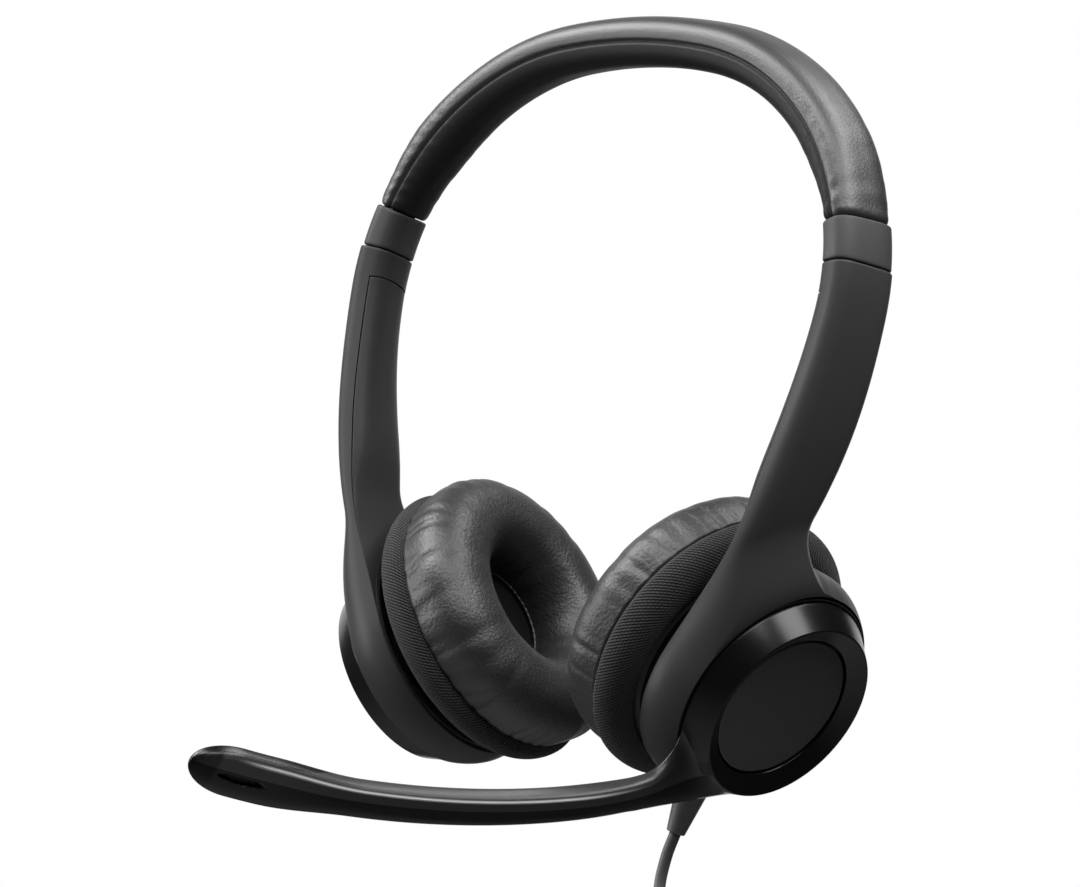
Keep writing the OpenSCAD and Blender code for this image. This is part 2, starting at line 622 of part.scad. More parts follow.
// Half height and half thickness of the section along the boom
function boom_half_b(t) =
    let (root = mix(boom_root_b, boom_b, ease(t / 0.25)), pad = mix(root, paddle_b, ease((t - 0.74) / 0.14)))
    pad * sqrt(1 - pow(max(0, (t - 0.93) / 0.0705), 2));
function boom_half_h(t) = mix(mix(1.8, boom_h, ease((t - 0.08) / 0.14)), 2.9, ease((t - 0.8) / 0.1))
    * sqrt(1 - pow(max(0, (t - 0.95) / 0.0505), 2));
section_n = 9;
boom_full = 2.5;
function boom_point(t, f) =
    let (d = boom_dir(t), side = unit(cross([0, 0, 1], d)), out = cross(d, side),
        c = sign(cos(f)) * pow(abs(cos(f)), 2 / boom_full), s = sign(sin(f)) * pow(abs(sin(f)), 2 / boom_full))
    boom_mid(t) - side * boom_half_b(t) * s + out * boom_half_h(t) * c;
boom_steps = [for (i = [0:22]) mix(boom_root, 0.93, i / 22)];
tip_steps = [0.95, 0.965, 0.98, 0.992, 0.999];
module boom_skin(ts, f0, f1) {
    full = f1 - f0 >= 360;
    m = full ? 2 * section_n : section_n;
    rings = [for (t = ts) [for (j = [0:m - 1]) boom_point(t, f1 - (f1 - f0) * j / (full ? m : m - 1))]];
    polyhedron([for (r = rings) each r],
        concat(sides(len(rings), m), fan_cap(0, m, true), fan_cap((len(rings) - 1) * m, m, false)));
}
mic_t = 0.895;
mic_l = 9.5;
mic_w = 2.6;
mic_deep = 4;
// Frame of the microphone's slot on the paddle's outer face
module at_mic() {
    d = boom_dir(mic_t);
    side = unit(cross([0, 0, 1], d));
    out = cross(d, side);
    m = boom_mid(mic_t) - side * -2.2;
    multmatrix([[d[0], side[0], out[0], m[0]], [d[1], side[1], out[1], m[1]],
        [d[2], side[2], out[2], m[2]], [0, 0, 0, 1]])
        children();
}
// Lens outline from two arcs
module lens(l, w) {
    r = (l * l / 4 + w * w / 4) / w;
    intersection() {
        translate([0, r - w / 2]) circle(r);
        translate([0, w / 2 - r]) circle(r);
    }
}
module boom_ring() color("#0c0c0d") at_cup() difference() {
    union() {
        ring_body(hub_r + run_gap, ring_base);
        difference() {
            boom_skin([for (i = [0:4]) mix(0.012, boom_root, i / 4)], 0, 360);
            cylinder(r = disc_r + disc_gap + 0.6, h = 60);
        }
    }
    ring_notch();
}
module boom_upper() color("#1e1e1f") at_cup() boom_skin(concat(boom_steps, tip_steps), 0, 180);
module boom_lower() color("#0e0e0f") at_cup() difference() {
    boom_skin(concat(boom_steps, tip_steps), 180, 360);
    at_mic() linear_extrude(10) lens(mic_l, mic_w);
}
module mic_mesh() color("#050505") at_cup() at_mic() translate([0, 0, 1.4])
    linear_extrude(0.5) lens(mic_l - 0.4, mic_w - 0.2);
module mic_capsule() color("gray") at_cup() at_mic() translate([0, 0, 0.1])
    cylinder(r = 1.1, h = 1.2, $fn = 32);

// Cord

// A point given in the cup's frame, in the headset's frame
function cup_point(u, v, h) = [cup_x + v * sin(cup_tilt) + h * cos(cup_tilt), cup_back + u,
    cup_z + v * cos(cup_tilt) - h * sin(cup_tilt)];
// Frame whose z axis points along d
module along(p, d) translate(p) rotate([0, acos(d[2] / norm(d)), atan2(d[1], d[0])]) children();

relief_from = cup_point(relief_u, 2.5 - bowl_r, relief_h);
relief_dir = unit([-0.25, 0.03, -0.968]);
relief_neck = 5;
relief_l = 9;
relief_r0 = 4.3;
relief_r1 = 2.3;
relief_end = relief_from + (relief_neck + relief_l) * relief_dir;
module strain_relief() color("#131314") along(relief_from, relief_dir)
    turned([[0, 0], [relief_hole - fit, 0], [relief_hole - fit, relief_neck], [relief_r0, relief_neck],
        [relief_r0, relief_neck + 1.5], [relief_r1, relief_neck + relief_l], [0, relief_neck + relief_l]]);

// Route of the free stretch, from the relief to the top of the hank's first run
hank_x = 30;
hank_y = 24;
hank_z = -232;
hank_pitch = 4.5;
hank_step = 3.6;
hank_r1 = hank_r0 + hank_pitch * hank_turns;
hank_y0 = hank_y - hank_step * (hank_layers - 1) / 2;
hank_top = [hank_x + hank_r1, hank_y0, hank_z];
drop_route = [relief_end - 6 * relief_dir, relief_end, relief_end + 6 * relief_dir, [30.5, 24, -196],
    [33, 23, -203], [41, 21, -210],
    hank_top + [-1, 0.4, 15], hank_top + [0, 0, 6], hank_top, hank_top - [0, 0, 6]];
function spline(p, i, t) = 0.5 * (2 * p[i] + (p[i + 1] - p[i - 1]) * t
    + (2 * p[i - 1] - 5 * p[i] + 4 * p[i + 1] - p[i + 2]) * t * t
    + (3 * p[i] - p[i - 1] - 3 * p[i + 1] + p[i + 2]) * t * t * t);
drop_path = concat([for (i = [1:len(drop_route) - 3]) for (k = [0:2]) spline(drop_route, i, k / 3)],
    [hank_top]);

// A round tube along a path that never runs along Y
module tube(path, m) {
    n = len(path);
    rings = [for (i = [0:n - 1])
        let (d = unit(path[min(n - 1, i + 1)] - path[max(0, i - 1)]), a = unit(cross(d, [0, 1, 0])),
            b = cross(d, a))
        [for (j = [0:m - 1]) path[i] + cord_d / 2 * (a * cos(360 * j / m) - b * sin(360 * j / m))]];
    polyhedron([for (r = rings) each r],
        concat(sides(n, m), fan_cap(0, m, true), fan_cap((n - 1) * m, m, false)));
}
module cord_drop() color("#171718") tube(drop_path, 8);

// Hank: loops that spiral in and out, layer by layer, drawn in at the waist
hank_all = hank_turns * hank_layers;
hank_waist = 0.1;
run_share = 0.28;
arc_share = 0.22;
function hank_layer(t) = min(hank_layers - 1, floor(t / hank_turns));
function hank_radius(t) =
    let (k = hank_layer(t), w = hank_pitch * (t - k * hank_turns))
    k % 2 == 0 ? hank_r1 - w : hank_r0 + w;
function hank_depth(t) =
    let (k = hank_layer(t), w = t - k * hank_turns)
    hank_step * (k == 0 ? 0 : k - 1 + ease(w / run_share));
function hank_draw(z) = 1 - hank_waist * exp(-pow((z + hank_run / 2) / 9, 2));
// One loop: down a run, round the foot, up a run, round the head
function hank_point(t) =
    let (f = t - floor(t), r = hank_radius(t), y = hank_y0 + hank_depth(t),
        down = f < run_share, foot = f < 0.5, up = f < 0.5 + run_share,
        z = down ? -hank_run * f / run_share : foot ? -hank_run
            : up ? hank_run * ((f - 0.5) / run_share - 1) : 0,
        a = down || (up && !foot) ? 0 : 180 * (foot ? f - run_share : f - 0.5 - run_share) / arc_share,
        draw = hank_draw(z), side = foot ? cos(a) : -cos(a), rise = foot ? -sin(a) : sin(a))
    [hank_x + side * r * draw, y, hank_z + z + rise * r];
loop_rings = 24;
plug_gap = 22;
hank_end = hank_point(hank_all);
hank_path = concat([for (i = [0:hank_all * loop_rings]) hank_point(i / loop_rings)],
    [for (i = [1:8]) let (z = -hank_run * i / 8) [hank_x + hank_r1 * hank_draw(z), hank_end[1], hank_z + z]],
    [hank_end - [0, 0, hank_run + plug_gap - cord_d], hank_end - [0, 0, hank_run + plug_gap]]);
module cord_hank() color("#171718") tube(hank_path, 6);

// Least gap of the hank to itself, between points half a loop or more apart
function segment_gap(p, a, b) =
    let (d = b - a, t = min(1, max(0, (p - a) * d / (d * d)))) norm(p - a - t * d);
hank_gap = min([for (i = [0:2:len(hank_path) - 1]) for (j = [i + 10:len(hank_path) - 2])
    segment_gap(hank_path[i], hank_path[j], hank_path[j + 1])]) - cord_d;
path_length = function (p) [
    for (i = 1, s = 0; i <= len(p); s = s + (i < len(p) ? norm(p[i] - p[i - 1]) : 0), i = i + 1) s];
echo(hank_gap = hank_gap, cord_length = max(path_length(hank_path)) + max(path_length(drop_path)));

// Strap round the hank's waist
tie_h = 8;
tie_t = 1.2;
tie_gap = 0.4;
tie_w = 2 * (hank_r1 * (1 - hank_waist) + cord_d / 2 + tie_gap) + 1;
tie_d = hank_step * (hank_layers - 1) + cord_d + 2 * tie_gap;
module cord_tie() color("#222223") translate([hank_x, hank_y, hank_z - hank_run / 2 - tie_h / 2])
    linear_extrude(tie_h) difference() {
        rounded(tie_w + 2 * tie_t, tie_d + 2 * tie_t, 3);
        rounded(tie_w, tie_d, 2);
    }

// Plug, hanging below the hank
plug_w = 15.5;
plug_t = 8;
plug_l = 26;
plug_neck = 6;
shell_w = 12;
shell_t = 4.5;
shell_l = 12;
shell_wall = 0.4;
plug_at = hank_end - [0, 0, hank_run + plug_gap];
module usb_body() color("#1a1a1b") translate(plug_at) mirror([0, 0, 1]) {
    cylinder(r1 = cord_d / 2 + 0.6, r2 = 3.2, h = plug_neck);
    translate([0, 0, plug_neck]) linear_extrude(plug_l) rounded(plug_t, plug_w, 1.8);
}
plug_foot = plug_neck + plug_l;
module usb_shell() color("silver") translate(plug_at - [0, 0, plug_foot]) mirror([0, 0, 1])
    linear_extrude(shell_l) difference() {
        square([shell_t, shell_w], center = true);
        square([shell_t - 2 * shell_wall, shell_w - 2 * shell_wall], center = true);
    }
tongue_t = 1.8;
module usb_tongue() color("whitesmoke") translate(plug_at - [0, 0, plug_foot]) mirror([0, 0, 1])
    translate([shell_wall - shell_t / 2, fit - shell_w / 2 + shell_wall, 0])
        cube([tongue_t, shell_w - 2 * shell_wall - 2 * fit, shell_l - 0.8]);

headband_spring();
headband_carrier();
headband_foam();
headband_wadding();
headband_wrap_outer();
headband_wrap_inner();
collar_left();
collar_right();
sleeve_left();
sleeve_right();
arm_shell_left();
arm_shell_right();
arm_cover_left();
arm_cover_right();
detent_left();
detent_right();
pivot_base_left();
pivot_base_right();
pivot_screws_left();
pivot_screws_right();
pivot_cross_left();
pivot_cross_right();
housing_left();
housing_right();
baffle_left();
baffle_right();
driver_frame_left();
driver_frame_right();
driver_magnet_left();
driver_magnet_right();
diaphragm_left();
diaphragm_right();
ear_cloth_left();
ear_cloth_right();
knit_left();
knit_right();
cushion_left();
cushion_right();
cap_left();
cap_right();
ring_right();
boom_hub();
boom_washer();
boom_ring();
boom_upper();
boom_lower();
mic_capsule();
mic_mesh();
strain_relief();
cord_drop();
cord_hank();
cord_tie();
usb_body();
usb_shell();
usb_tongue();
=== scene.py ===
"""Office headset: a padded headband on a steel strip, two sliding arms that end in
round bowls, two swivelling ear cushions, a turning microphone boom and a USB cord."""
import json
import math

import bmesh
import bpy
import numpy as np
from bpy.props import FloatProperty, FloatVectorProperty, IntProperty, PointerProperty
from mathutils import Matrix, Vector


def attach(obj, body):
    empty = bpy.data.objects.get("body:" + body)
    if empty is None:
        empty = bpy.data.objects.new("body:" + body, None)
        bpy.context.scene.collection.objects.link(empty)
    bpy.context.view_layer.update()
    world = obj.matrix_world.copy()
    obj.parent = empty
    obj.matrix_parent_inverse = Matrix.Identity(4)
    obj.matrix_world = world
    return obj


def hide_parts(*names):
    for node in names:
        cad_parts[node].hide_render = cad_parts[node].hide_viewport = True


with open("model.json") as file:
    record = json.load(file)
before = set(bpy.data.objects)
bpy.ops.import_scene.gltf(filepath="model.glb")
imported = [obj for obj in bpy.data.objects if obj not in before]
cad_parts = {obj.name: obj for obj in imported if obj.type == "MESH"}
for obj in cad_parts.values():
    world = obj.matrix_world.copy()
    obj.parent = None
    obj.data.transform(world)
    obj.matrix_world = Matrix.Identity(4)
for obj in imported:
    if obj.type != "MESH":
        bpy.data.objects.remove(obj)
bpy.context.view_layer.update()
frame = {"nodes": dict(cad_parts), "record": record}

bl_info = {
    "name": "Office Headset",
    "version": (1, 0, 0),
    "blender": (4, 5, 0),
    "location": "View3D > Sidebar > Headset",
    "description": "Builds the visible surfaces of an office headset over its packed solids",
    "category": "Object",
}

# Lengths are in millimetres here and go over to metres when a mesh is made.
# The wearer faces -Y, +X is the wearer's left (boom) side, +Z is up.

# Arcs of the band's middle line, angles from +Z towards +X
CROWN_R, CROWN_A = 136.0, math.radians(9.5)
SIDE_R, SIDE_A = 62.0, math.radians(93.0)
ARM_R = 150.0
LEAN = math.radians(15.0)
PAD_T = 12.4
CROWN_Z = PAD_T / 2 - CROWN_R
SIDE_X = (CROWN_R - SIDE_R) * math.sin(CROWN_A)
SIDE_Z = CROWN_Z + (CROWN_R - SIDE_R) * math.cos(CROWN_A)
ARM_X = SIDE_X + (SIDE_R - ARM_R) * math.sin(SIDE_A)
ARM_Z = SIDE_Z + (SIDE_R - ARM_R) * math.cos(SIDE_A)
LEN_CROWN = CROWN_R * CROWN_A
COLLAR_A, COLLAR_L, COLLAR_GAP = math.radians(73.0), 10.5, 0.3
COLLAR_S = LEN_CROWN + (COLLAR_A - CROWN_A) * SIDE_R
PAD_S = COLLAR_S - COLLAR_GAP
SLEEVE_L = 7.0
SLEEVE_A = COLLAR_A + (COLLAR_L + COLLAR_GAP + SLEEVE_L) / SIDE_R

# Cup: axis tilted below level, set behind the band's plane
TILT = math.radians(29.7)
CUP_BACK = 21.5
NECK_REACH, NECK_LIFT = 19.0, 13.2
END_A = math.pi / 2 + TILT
LEN_SIDE = (SIDE_A - SLEEVE_A) * SIDE_R
LEN_ARM = LEN_SIDE + (END_A - SIDE_A) * ARM_R
CUP_X = ARM_X + ARM_R * math.sin(END_A) - NECK_REACH * math.sin(TILT) - NECK_LIFT * math.cos(TILT)
CUP_Z = ARM_Z + ARM_R * math.cos(END_A) - NECK_REACH * math.cos(TILT) + NECK_LIFT * math.sin(TILT)

# Bowl and ring, as radius and height over the cushion's seam
BOWL_R, RIM_H, FACE_H, BOWL_LIP = 30.0, 13.4, 23.8, 0.9
RING_R, CREST_R, CREST_H, DISC_R, DISC_H = 26.8, 23.2, 31.9, 18.4, 28.8
RECESS_R = RING_R + 0.3
LIP_R = RECESS_R + 0.5
ARM_T, ARM_W0, ARM_W1 = 9.0, 17.6, 19.6
FLARE_L, FILLET = 16.0, 10.0
FILLET_V = math.sqrt((BOWL_R + FILLET) ** 2 - (ARM_W1 / 2 + FILLET - CUP_BACK) ** 2)
FILLET_END = FILLET_V * BOWL_R / (BOWL_R + FILLET) + 0.3

# Powers of the superellipses that the pad's and the arm's sections follow
PAD_POWER, ARM_POWER = 3.0, 3.2
# Angles of a quarter turn, for rounded edges
QUARTER = np.linspace(0, np.pi / 2, 6)


def ease(t):
    """Smooth step: 3t^2 - 2t^3 between 0 and 1."""
    c = np.clip(t, 0, 1)
    return c * c * (3 - 2 * c)


def mix(a, b, t):
    return a + (b - a) * t


def unit(d):
    return d / np.linalg.norm(d, axis=-1, keepdims=True)


def spaced(*stops):
    """Rising values through (end, count) stops, with even steps between stops."""
    parts = [np.linspace(a[0], b[0], b[1], endpoint=False) for a, b in zip(stops, stops[1:])]
    return np.concatenate(parts + [np.array([stops[-1][0]])])


def hills(x, seed, waves, low, high):
    """Sum of sines of x with seeded wavelengths from low to high and seeded phases, about -1 to 1."""
    rng = np.random.default_rng(seed)
    length = rng.uniform(low, high, waves)
    phase = rng.uniform(0, 2 * np.pi, waves)
    return np.sin(2 * np.pi * np.asarray(x)[..., None] / length + phase).sum(-1) / math.sqrt(waves)


def superellipse(theta, w, t, n):
    """Point at polar angle theta on the curve |p/w|^n + |q/t|^n = 1."""
    c, s = np.cos(theta), np.sin(theta)
    r = (np.abs(c / w) ** n + np.abs(s / t) ** n) ** (-1 / n)
    return r * c, r * s


def outward(p, q, w, t, n):
    """Unit normal of that curve, from its gradient."""
    a = np.sign(p) * np.abs(p / w) ** (n - 1) / w
    b = np.sign(q) * np.abs(q / t) ** (n - 1) / t
    k = np.hypot(a, b)
    return a / k, b / k


def band_point(s, p, q):
    """Place on the band: s along the arcs from the crown, p across, q outward, the section leaning back."""
    d = np.abs(s)
    top = d < LEN_CROWN
    a = np.where(top, d / CROWN_R, CROWN_A + (d - LEN_CROWN) / SIDE_R)
    r = np.where(top, CROWN_R, SIDE_R) + p * math.sin(LEAN) + q * math.cos(LEAN)
    x = np.where(top, 0, SIDE_X) + r * np.sin(a)
    z = np.where(top, CROWN_Z, SIDE_Z) + r * np.cos(a)
    return np.stack([np.sign(s) * x, p * math.cos(LEAN) - q * math.sin(LEAN) + 0 * x, z], -1)


def arm_point(l, p, q):
    """Place on the arm: l down its middle line (side arc, long arc, then straight), p across, q outward."""
    side = l < LEN_SIDE
    a = np.where(side, SLEEVE_A + l / SIDE_R, np.minimum(END_A, SIDE_A + (l - LEN_SIDE) / ARM_R))
    over = np.maximum(0, l - LEN_ARM)
    r = np.where(side, SIDE_R, ARM_R)
    w = LEAN * (1 - ease((l - 10) / 60))
    n = p * np.sin(w) + q * np.cos(w)
    x = np.where(side, SIDE_X, ARM_X) + (r + n) * np.sin(a) + over * np.cos(a)
    z = np.where(side, SIDE_Z, ARM_Z) + (r + n) * np.cos(a) - over * np.sin(a)
    return np.stack([x, p * np.cos(w) - q * np.sin(w), z], -1)


def cup_point(u, v, h):
    """Place in the cup's frame: u back, v up the cup, h outward from the seam."""
    x = CUP_X + v * math.sin(TILT) + h * math.cos(TILT)
    return np.stack(np.broadcast_arrays(x, CUP_BACK + u, CUP_Z + v * math.cos(TILT) - h * math.sin(TILT)), -1)


def in_cup(points):
    """The cup's coordinates of points in the headset's frame."""
    x, y, z = points[..., 0] - CUP_X, points[..., 1] - CUP_BACK, points[..., 2] - CUP_Z
    return y, x * math.sin(TILT) + z * math.cos(TILT), x * math.cos(TILT) - z * math.sin(TILT)


def rounded(corners, steps=5):
    """A profile through (radius, height, rounding) corners, each corner cut back by its rounding and
    bridged with a quadratic curve."""
    pts = np.array([c[:2] for c in corners], float)
    out = [pts[:1]]
    t = np.linspace(0, 1, steps)[:, None]
    for i in range(1, len(pts) - 1):
        a, b, c = pts[i - 1], pts[i], pts[i + 1]
        cut = corners[i][2] if len(corners[i]) > 2 else 0
        if cut == 0:
            out.append(b[None])
            continue
        da, dc = unit(a - b), unit(c - b)
        out.append((1 - t) ** 2 * (b + da * cut) + 2 * t * (1 - t) * b + t ** 2 * (b + dc * cut))
    return np.concatenate(out + [pts[-1:]])


def grid_faces(nu, nv):
    """Quads over a grid of nu rows and nv columns."""
    i, j = np.arange(nu - 1)[:, None], np.arange(nv - 1)[None, :]
    a = i * nv + j
    return np.stack([a, a + 1, a + nv + 1, a + nv], -1).reshape(-1, 4)


def make_piece(name, grids, uvs=None, mirror=False, sharp=None, material=None):
    """A mesh from grids of points in millimetres: doubles merged, so that seams and poles close,
    and normals turned outwards. uvs are one grid of pairs for each grid of points."""
    points, faces, coords, at = [], [], [], 0
    for k, g in enumerate(grids):
        nu, nv = g.shape[:2]
        points.append(g.reshape(-1, 3))
        faces.append(grid_faces(nu, nv) + at)
        if uvs is None:
            uv = np.stack(np.meshgrid(np.linspace(0, 1, nu), np.linspace(0, 1, nv), indexing="ij"), -1)
        else:
            uv = uvs[k]
        coords.append(np.broadcast_to(uv, (nu, nv, 2)).reshape(-1, 2))
        at += nu * nv
    points, faces, coords = np.concatenate(points) / 1000, np.concatenate(faces), np.concatenate(coords)
    if mirror:
        points = points * [-1, 1, 1]
    mesh = bpy.data.meshes.new(name)
    mesh.from_pydata(points.tolist(), [], faces.tolist())
    layer = mesh.uv_layers.new(name="UVMap")
    layer.data.foreach_set("uv", coords[faces.ravel()].astype(np.float32).ravel())
    bm = bmesh.new()
    bm.from_mesh(mesh)
    bmesh.ops.remove_doubles(bm, verts=bm.verts, dist=2e-7)
    bmesh.ops.recalc_face_normals(bm, faces=bm.faces)
    bm.to_mesh(mesh)
    bm.free()
    mesh.shade_smooth()
    if sharp:
        mesh.set_sharp_from_angle(angle=math.radians(sharp))
    piece = bpy.data.objects.new(name, mesh)
    bpy.context.scene.collection.objects.link(piece)
    if material:
        mesh.materials.append(material)
    return piece


def turned(profile, count=192, start=0.0, sweep=2 * np.pi):
    """A profile of radius and height carried round the cup's axis, as cup coordinates u, v, h."""
    a = start + np.linspace(0, sweep, count + 1)[:, None]
    r, h = profile[:, 0][None], profile[:, 1][None]
    return r * np.cos(a), r * np.sin(a), h + 0 * a


def side_name(name, side):
    return name + ("_left" if side > 0 else "_right")


# Materials

def node_group(name, vector, outputs, **numbers):
    """An empty shader group that takes a vector and some numbers and gives out numbers."""
    g = bpy.data.node_groups.new(name, "ShaderNodeTree")
    g.interface.new_socket(vector, in_out="INPUT", socket_type="NodeSocketVector")
    for label, value in numbers.items():
        s = g.interface.new_socket(label, in_out="INPUT", socket_type="NodeSocketFloat")
        s.default_value = value
    for label in outputs:
        g.interface.new_socket(label, in_out="OUTPUT", socket_type="NodeSocketFloat")
    return g, g.nodes.new("NodeGroupInput").outputs, g.nodes.new("NodeGroupOutput").inputs


def add_node(tree, kind, values, **settings):
    """Outputs of a new shader node. Its values are sockets to link to its inputs, or constants."""
    n = tree.nodes.new("ShaderNode" + kind)
    for key, value in settings.items():
        setattr(n, key, value)
    for key, value in values.items():
        if isinstance(value, bpy.types.NodeSocket):
            tree.links.new(value, n.inputs[key])
        else:
            n.inputs[key].default_value = value
    return n.outputs


def math_node(tree, operation, *values, clamp=False):
    return add_node(tree, "Math", dict(enumerate(values)), operation=operation, use_clamp=clamp)[0]


def plus(tree, a, b):
    return math_node(tree, "ADD", a, b)


def minus(tree, a, b):
    return math_node(tree, "SUBTRACT", a, b)


def times(tree, a, b):
    return math_node(tree, "MULTIPLY", a, b)


def larger(tree, a, b):
    return math_node(tree, "MAXIMUM", a, b)


def tint_node(tree, mask, a, b, blend="MIX"):
    values = {"Factor": mask, "A": a, "B": b}
    return add_node(tree, "Mix", values, data_type="RGBA", blend_type=blend)["Result"]


def noise_node(tree, vector, scale, detail=2.0, rough=0.5):
    values = {"Vector": vector, "Scale": scale, "Detail": detail, "Roughness": rough}
    return add_node(tree, "TexNoise", values)["Fac"]


def pebble_group():
    """Leather grain: small cells whose borders sink, over a finer noise. Tone drifts slowly."""
    g, given, out = node_group("Pebble grain", "Vector", ("Height", "Tone"), Cells=1300.0)
    vector, count = given["Vector"], given["Cells"]
    wobble = add_node(g, "TexNoise", {"Vector": vector, "Scale": 420.0})["Color"]
    shift = add_node(g, "VectorMath", {0: wobble, "Scale": 0.0009}, operation="SCALE")[0]
    warp = add_node(g, "VectorMath", {0: vector, 1: shift}, operation="ADD")[0]
    values = {"Vector": warp, "Scale": count, "Smoothness": 0.35}
    dome = minus(g, 1.0, add_node(g, "TexVoronoi", values, feature="SMOOTH_F1")["Distance"])
    fine = noise_node(g, vector, times(g, count, 2.6), 2.0)
    g.links.new(plus(g, times(g, dome, 0.75), times(g, fine, 0.35)), out["Height"])
    g.links.new(plus(g, times(g, noise_node(g, vector, 60.0, 3.0), 0.3), 0.85), out["Tone"])
    return g


def mould_group():
    """Moulded plastic: a fine spark-eroded texture as Height, and a slow drift as Tone."""
    g, given, out = node_group("Moulded texture", "Vector", ("Height", "Tone"), Grain=4200.0)
    vector = given["Vector"]
    g.links.new(noise_node(g, vector, given["Grain"], 3.0, 0.6), out["Height"])
    g.links.new(plus(g, times(g, noise_node(g, vector, 45.0, 2.0), 0.16), 0.92), out["Tone"])
    return g


def knit_group():
    """Rib knit on a UV map counted in ribs (u) and courses (v): each rib is a raised rounded wale made of
    slanted stitches. Valley shade marks the valleys between wales, where the materials darken the colour as
    painted shade."""
    g, given, out = node_group("Rib knit", "UV", ("Height", "Valley shade"))
    split = add_node(g, "SeparateXYZ", {0: given["UV"]})
    wave = math_node(g, "SINE", times(g, split["X"], math.pi))
    slant = math_node(g, "ABSOLUTE", minus(g, math_node(g, "FRACT", split["X"]), 0.5))
    course = math_node(g, "SINE", times(g, plus(g, split["Y"], times(g, slant, 1.4)), 2 * math.pi))
    height = times(g, times(g, wave, wave), plus(g, times(g, course, 0.28), 0.72))
    g.links.new(height, out["Height"])
    # Painted shade: the colour darkens between the wales, where shade falls in the knit.
    g.links.new(math_node(g, "SUBTRACT", 1.0, height, clamp=True), out["Valley shade"])
    return g


def opaque(colour, share=1.0):
    """A colour of four numbers, as a share of one of three."""
    return (*(share * x for x in colour), 1)


# Share of its colour that the knit keeps in its valleys as painted shade, and the boom's colour along its
# ridge as a painted highlight
VALLEY_SHADE, RIDGE_HIGHLIGHT = 0.04, (0.55, 0.55, 0.56)


def shaded(name, colour, rough, group=None, numbers=None, bump=0.0, depth=0.0, swing=0.0, coordinate="Object",
           metallic=0.0, specular=0.5, sheen=0.0):
    """A Principled material. With a group, its colour and roughness follow Tone, or its colour darkens in
    Valley shade as painted shade, and its bump follows Height."""
    m = bpy.data.materials.new(name)
    m.use_nodes = True
    tree = m.node_tree
    b = tree.nodes["Principled BSDF"].inputs
    for label, value in (("Base Color", opaque(colour)), ("Roughness", rough), ("Metallic", metallic),
                         ("Specular IOR Level", specular), ("Sheen Weight", sheen), ("Sheen Roughness", 0.5)):
        b[label].default_value = value
    if group is None:
        return m
    where = add_node(tree, "TexCoord", {})[coordinate]
    g = add_node(tree, "Group", {0: where, **(numbers or {})}, node_tree=group)
    if "Tone" in g:
        tree.links.new(tint_node(tree, 1.0, opaque(colour), g["Tone"], "MULTIPLY"), b["Base Color"])
        if swing:
            drift = times(tree, minus(tree, g["Tone"], 1.0), swing)
            tree.links.new(plus(tree, drift, rough), b["Roughness"])
    if "Valley shade" in g:
        # Painted shade in the knit's valleys: a much darker copy of its colour.
        dark = opaque(colour, VALLEY_SHADE)
        tree.links.new(tint_node(tree, g["Valley shade"], opaque(colour), dark), b["Base Color"])
    if bump:
        values = {"Strength": bump, "Distance": depth, "Height": g["Height"]}
        tree.links.new(add_node(tree, "Bump", values)["Normal"], b["Normal"])
    return m


def boom_finish(name, face, paddle, dark, root, mould, specular):
    """Boom: satin face, smoother where it grows out of the ring, a painted highlight along its ridge and
    painted shade below the ridge, and black on the tip, in the microphone's slot and on the strip behind it.
    UV holds the place along and across it."""
    m = shaded(name, face, 0.26, mould, {"Grain": 5200.0}, 0.04, 0.00003, specular=specular)
    tree = m.node_tree
    b = tree.nodes["Principled BSDF"].inputs
    place = add_node(tree, "SeparateXYZ", {0: add_node(tree, "UVMap", {})[0]})
    along, across = place["X"], place["Y"]

    def ramp(value, low, high):
        values = {"Value": value, "From Min": low, "From Max": high}
        return add_node(tree, "MapRange", values, interpolation_type="SMOOTHSTEP")["Result"]

    def fall(value, low, high):
        return minus(tree, 1.0, ramp(value, low, high))

    x = math_node(tree, "DIVIDE", minus(tree, along, MIC_T), MIC_HALF_T)
    y = math_node(tree, "DIVIDE", minus(tree, across, MIC_B), MIC_HALF_B)
    slot = fall(math_node(tree, "SQRT", plus(tree, times(tree, x, x), times(tree, y, y))), 0.9, 1.05)
    tip = ramp(along, 0.962, 0.97)
    edge = minus(tree, 1.0, times(tree, ramp(along, 0.79, 0.87), 0.14))
    strip = times(tree, math_node(tree, "GREATER_THAN", across, edge), ramp(along, 0.78, 0.8))
    black = larger(tree, larger(tree, slot, tip), strip)
    # Painted shade: below the ridge the face turns away from the light, so its colour goes part way to the
    # lower shell's.
    low = fall(across, RIDGE - 0.05, RIDGE - 0.01)
    # Painted highlight: a pale line along the ridge, where the lamps would glint.
    on_ridge = fall(math_node(tree, "ABSOLUTE", minus(tree, across, RIDGE)), 0.02, 0.1)
    painted_ridge_highlight = times(tree, on_ridge, times(tree, ramp(along, 0.2, 0.4), fall(along, 0.88, 0.95)))
    colour = b["Base Color"].links[0].from_socket
    for mask, tone in ((times(tree, low, 0.6), dark), (ramp(along, 0.76, 0.9), paddle), (painted_ridge_highlight, RIDGE_HIGHLIGHT),
                       (fall(along, 0.06, 0.24), root), (black, dark)):
        colour = tint_node(tree, mask, colour, opaque(tone))
    tree.links.new(colour, b["Base Color"])
    tree.links.new(plus(tree, times(tree, ramp(along, 0.05, 0.25), 0.04), 0.24), b["Roughness"])
    return m


MATERIALS = {}


